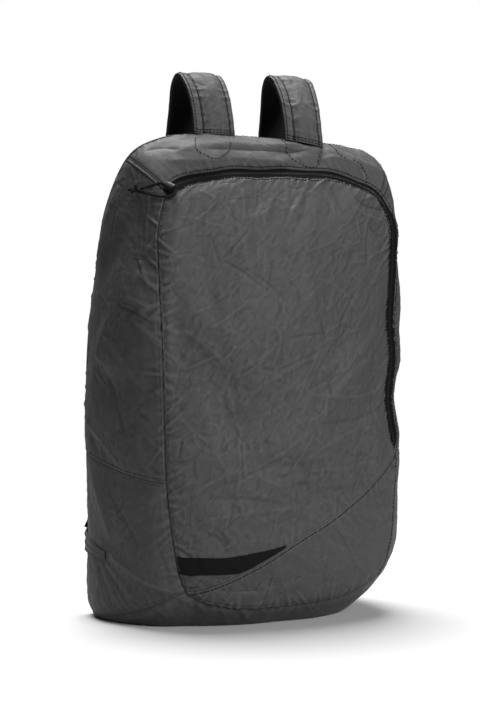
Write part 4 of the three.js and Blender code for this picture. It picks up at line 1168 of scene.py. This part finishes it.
for side, word in ((-1, "left"), (1, "right")):
    outer, normals = tab_grid(side)
    tab = sheet_piece(f"anchor_tab_{word}_cloth", outer, normals, TAB_THICKNESS, "crinkled_nylon")
    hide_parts(f"anchor_tab_{word}")

    low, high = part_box(f"webbing_{word}")
    line = strap_line(side, np.array([0.995, 1.0]))
    run = unit(line[1] - line[0])
    across = unit(X_AXIS - run * run[0])
    out = np.cross(across, run)
    threaded = line[1] + run * (BUCKLE_LENGTH / 2 + SEAM_GAP) + out * (BUCKLE_THICKNESS + SEAM_GAP)
    leaving = threaded + run * (BUCKLE_LENGTH / 2 + WEBBING_WIDTH / 2)
    seat_z = np.array(sum(TAB_BACK_HEIGHTS) / 2)
    seat_x = np.array(TAB_REACH / 2 if side < 0 else 1 - TAB_REACH / 2)
    landing = back_point(seat_x, seat_z, seat_z) + Y_AXIS * (TAB_CLEAR + TAB_THICKNESS + WEBBING_SEAT)
    route = np.stack([threaded, leaving, mix(leaving, landing, 0.5), landing])
    path = open_curve(route, np.linspace(0, 1, 91))
    spread, _ = np.meshgrid(np.linspace(1, -1, 19) * WEBBING_WIDTH / 2, path[:, 0])
    ribs = WEBBING_RIB * np.cos(spread / WEBBING_WIDTH * WEBBING_RIBS * 2 * np.pi)
    outer = ribbon(path, spread, WEBBING_THICKNESS + ribs)
    webbing = sheet_piece(
        f"webbing_{word}_woven", outer, surface_normals(outer), WEBBING_THICKNESS, "black_tape")
    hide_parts(f"webbing_{word}")

# %% [markdown]
# Materials. Node sums are easier to read as Python, so one small class wraps a socket and turns
# plus, minus and times into nodes. Its method makes any other node from its type, its settings and
# what goes into its sockets.

# %% Shader sums
class Wire:
    """One output socket of a material."""

    def __init__(self, socket):
        self.socket = socket

    def node(self, kind, settings=None, sockets=None, out=0):
        made = self.socket.id_data.nodes.new("ShaderNode" + kind)
        for name, value in (settings or {}).items():
            if name == "stops":
                for stop, (place, shade) in zip(made.color_ramp.elements, value):
                    stop.position, stop.color = place, (shade, shade, shade, 1)
            else:
                setattr(made, name, value)
        for name, value in (sockets or {}).items():
            if isinstance(value, Wire):
                self.socket.id_data.links.new(value.socket, made.inputs[name])
            else:
                made.inputs[name].default_value = value
        return Wire(made.outputs[out])

    def sum(self, operation, first, second):
        return self.node("Math", {"operation": operation}, {0: first, 1: second})

    def __add__(self, other):
        return self.sum("ADD", self, other)

    def __sub__(self, other):
        return self.sum("SUBTRACT", self, other)

    def __rsub__(self, other):
        return self.sum("SUBTRACT", other, self)

    def __mul__(self, other):
        return self.sum("MULTIPLY", self, other)

    __radd__ = __add__
    __rmul__ = __mul__


def new_finish(name, **constants):
    """A material with constant values on its shader, and its coordinates in metres."""
    material = bpy.data.materials.new(name)
    material.use_nodes = True
    shader = material.node_tree.nodes["Principled BSDF"]
    for key, value in constants.items():
        shader.inputs[key.replace("_", " ")].default_value = value
    place = Wire(material.node_tree.nodes.new("ShaderNodeTexCoord").outputs["Object"])
    return material, shader, place


def feed(shader, name, wire):
    shader.id_data.links.new(wire.socket, shader.inputs[name])


def noise_of(place, scale, detail=3.0, out=0):
    return place.node("TexNoise", {}, {"Vector": place, "Scale": scale, "Detail": detail}, out)


def shade_between(place, factor, dark, light):
    return place.node("Mix", {"data_type": "RGBA"}, {0: factor, 6: (*dark, 1), 7: (*light, 1)}, 2)


def bumped(place, height, strength, distance):
    return place.node("Bump", {}, {"Height": height, "Strength": strength, "Distance": distance})


# %% [markdown]
# The nylon is dark grey with a faint sheen. Its colour is paler on the crests of the crumples and
# darker in their hollows: the pale crests are partly wear on the creases and partly painted highlight,
# and the dark hollows are painted shade. Below the size of the modelled facets there is still a fine
# crinkle and the weave, and both go into the bump.

# %% Crinkled nylon
def nylon_finish():
    material, shader, place = new_finish(
        "crinkled_nylon", Sheen_Weight=0.02, Sheen_Roughness=0.4, Specular_IOR_Level=0.24)
    # Painted light from the panel's attribute: crests pale as wear and painted highlight, hollows dark as
    # painted shade.
    wear_and_painted_light = Wire(material.node_tree.nodes.new("ShaderNodeAttribute").outputs["Fac"])
    wear_and_painted_light.socket.node.attribute_name = "wear_and_painted_light"
    broad = noise_of(place, 14)
    speckle = noise_of(place, 900, 2)
    tone = broad * 0.3 + speckle * 0.15 + wear_and_painted_light * 0.45 + 0.15
    feed(shader, "Base Color", shade_between(place, tone, (0.024, 0.024, 0.0245), (0.050, 0.050, 0.051)))
    feed(shader, "Roughness", 0.58 + noise_of(place, 60) * 0.10)
    crinkle = place.node("TexVoronoi", {"feature": "DISTANCE_TO_EDGE"}, {"Vector": place, "Scale": 170.0})
    fold = noise_of(place, 260, 4)
    weave = (place.node("TexWave", {"bands_direction": "X"}, {"Vector": place, "Scale": 700.0}, 1)
             + place.node("TexWave", {"bands_direction": "Z"}, {"Vector": place, "Scale": 700.0}, 1))
    height = crinkle * 0.30 + fold * 0.55 + weave * 0.03
    feed(shader, "Normal", bumped(place, height, 0.55, 0.0009))
    return material


# %% Woven, moulded and metal finishes
def woven_finish(name, dark, light, scale, strength, roughness):
    material, shader, place = new_finish(name, Specular_IOR_Level=0.05)
    rib = place.node("TexWave", {"bands_direction": "DIAGONAL"}, {"Vector": place, "Scale": scale}, 1)
    speckle = noise_of(place, scale * 2.2, 2)
    feed(shader, "Base Color", shade_between(place, rib * 0.5 + speckle * 0.5, dark, light))
    feed(shader, "Roughness", roughness + speckle * 0.12)
    feed(shader, "Normal", bumped(place, rib + speckle * 0.5, strength, 0.0003))
    return material


def moulded_finish(name, dark, light, roughness, gloss):
    material, shader, place = new_finish(name, Specular_IOR_Level=gloss)
    cloud = noise_of(place, 90, 4)
    feed(shader, "Base Color", shade_between(place, cloud, dark, light))
    feed(shader, "Roughness", roughness + cloud * 0.15)
    feed(shader, "Normal", bumped(place, noise_of(place, 1500, 2), 0.15, 0.0001))
    return material


# Columns: name, darkest and palest colour, size of the weave, depth of the weave, roughness.
WOVEN = (
    ("black_tape", (0.002, 0.002, 0.0022), (0.005, 0.005, 0.0052), 520.0, 0.5, 0.80),
    ("black_cord", (0.004, 0.004, 0.0045), (0.010, 0.010, 0.0105), 900.0, 0.6, 0.70),
    ("black_mesh", (0.012, 0.012, 0.012), (0.032, 0.032, 0.032), 380.0, 0.8, 0.90),
    ("black_band", (0.003, 0.003, 0.0032), (0.006, 0.006, 0.0062), 700.0, 0.2, 0.60))
# Columns: name, darkest and palest colour, roughness, gloss.
MOULDED = (
    ("black_coil", (0.003, 0.003, 0.0032), (0.006, 0.006, 0.0062), 0.45, 0.2),
    ("black_plastic", (0.009, 0.009, 0.010), (0.016, 0.016, 0.017), 0.35, 0.5),
    ("dark_metal", (0.004, 0.004, 0.0045), (0.008, 0.008, 0.009), 0.32, 0.15))

finishes = {"crinkled_nylon": nylon_finish()}
for row in WOVEN:
    finishes[row[0]] = woven_finish(*row)
for row in MOULDED:
    finishes[row[0]] = moulded_finish(*row)
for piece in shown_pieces():
    piece.data.materials.clear()
    piece.data.materials.append(finishes[piece["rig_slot"]])

# %% [markdown]
# The studio: a round pale floor that melts into the white background, a soft key from the right in
# front, and a wide soft light from above that leaves a dark contact shadow. Suns with a wide angle are
# used because their light doesn't fall off, so the floor stays evenly pale. The floor is small, because
# a wide one throws so much light back that the bag's shaded side turns grey.

# %% Floor and lights
FLOOR_RADIUS, FLOOR_SIDES, FLOOR_SHADE, FLOOR_ROUGHNESS = 1.1, 96, 0.43, 0.9
SKY_STRENGTH = 0.08
floor_data = bpy.data.meshes.new("floor")
rim_turns = np.arange(FLOOR_SIDES) * 2 * np.pi / FLOOR_SIDES
rim = np.stack([np.cos(rim_turns), np.sin(rim_turns), 0 * rim_turns], 1) * FLOOR_RADIUS
floor_data.from_pydata(rim.tolist(), [], [tuple(range(FLOOR_SIDES))])
floor = bpy.data.objects.new("floor", floor_data)
bpy.context.scene.collection.objects.link(floor)
floor_material = bpy.data.materials.new("pale_floor")
floor_material.use_nodes = True
floor_shader = floor_material.node_tree.nodes["Principled BSDF"]
floor_shader.inputs["Base Color"].default_value = (FLOOR_SHADE, FLOOR_SHADE, FLOOR_SHADE, 1)
floor_shader.inputs["Roughness"].default_value = FLOOR_ROUGHNESS
floor_data.materials.append(floor_material)


def soft_sun(name, strength, azimuth, elevation, angle):
    """A sun whose light comes from an azimuth and elevation in degrees."""
    data = bpy.data.lights.new(name, "SUN")
    data.energy = strength
    data.angle = math.radians(angle)
    sun = bpy.data.objects.new(name, data)
    az, el = math.radians(azimuth), math.radians(elevation)
    towards = Vector((math.sin(az) * math.cos(el), -math.cos(az) * math.cos(el), math.sin(el)))
    sun.rotation_euler = towards.to_track_quat("Z", "Y").to_euler()
    bpy.context.scene.collection.objects.link(sun)
    return sun


soft_sun("key", 3.8, 16, 25, 36)
soft_sun("overhead", 7.4, 170, 72, 42)
bpy.context.scene.view_settings.view_transform = "Standard"
world = bpy.data.worlds.new("studio")
bpy.context.scene.world = world
world.use_nodes = True
sky = world.node_tree.nodes["Background"]
backdrop = world.node_tree.nodes.new("ShaderNodeBackground")
backdrop.inputs["Color"].default_value = (1, 1, 1, 1)
sky.inputs["Color"].default_value = (1, 1, 1, 1)
sky.inputs["Strength"].default_value = SKY_STRENGTH
seen = world.node_tree.nodes.new("ShaderNodeLightPath")
either = world.node_tree.nodes.new("ShaderNodeMixShader")
links = world.node_tree.links
links.new(seen.outputs["Is Camera Ray"], either.inputs["Fac"])
links.new(sky.outputs["Background"], either.inputs[1])
links.new(backdrop.outputs["Background"], either.inputs[2])
links.new(either.outputs["Shader"], world.node_tree.nodes["World Output"].inputs["Surface"])
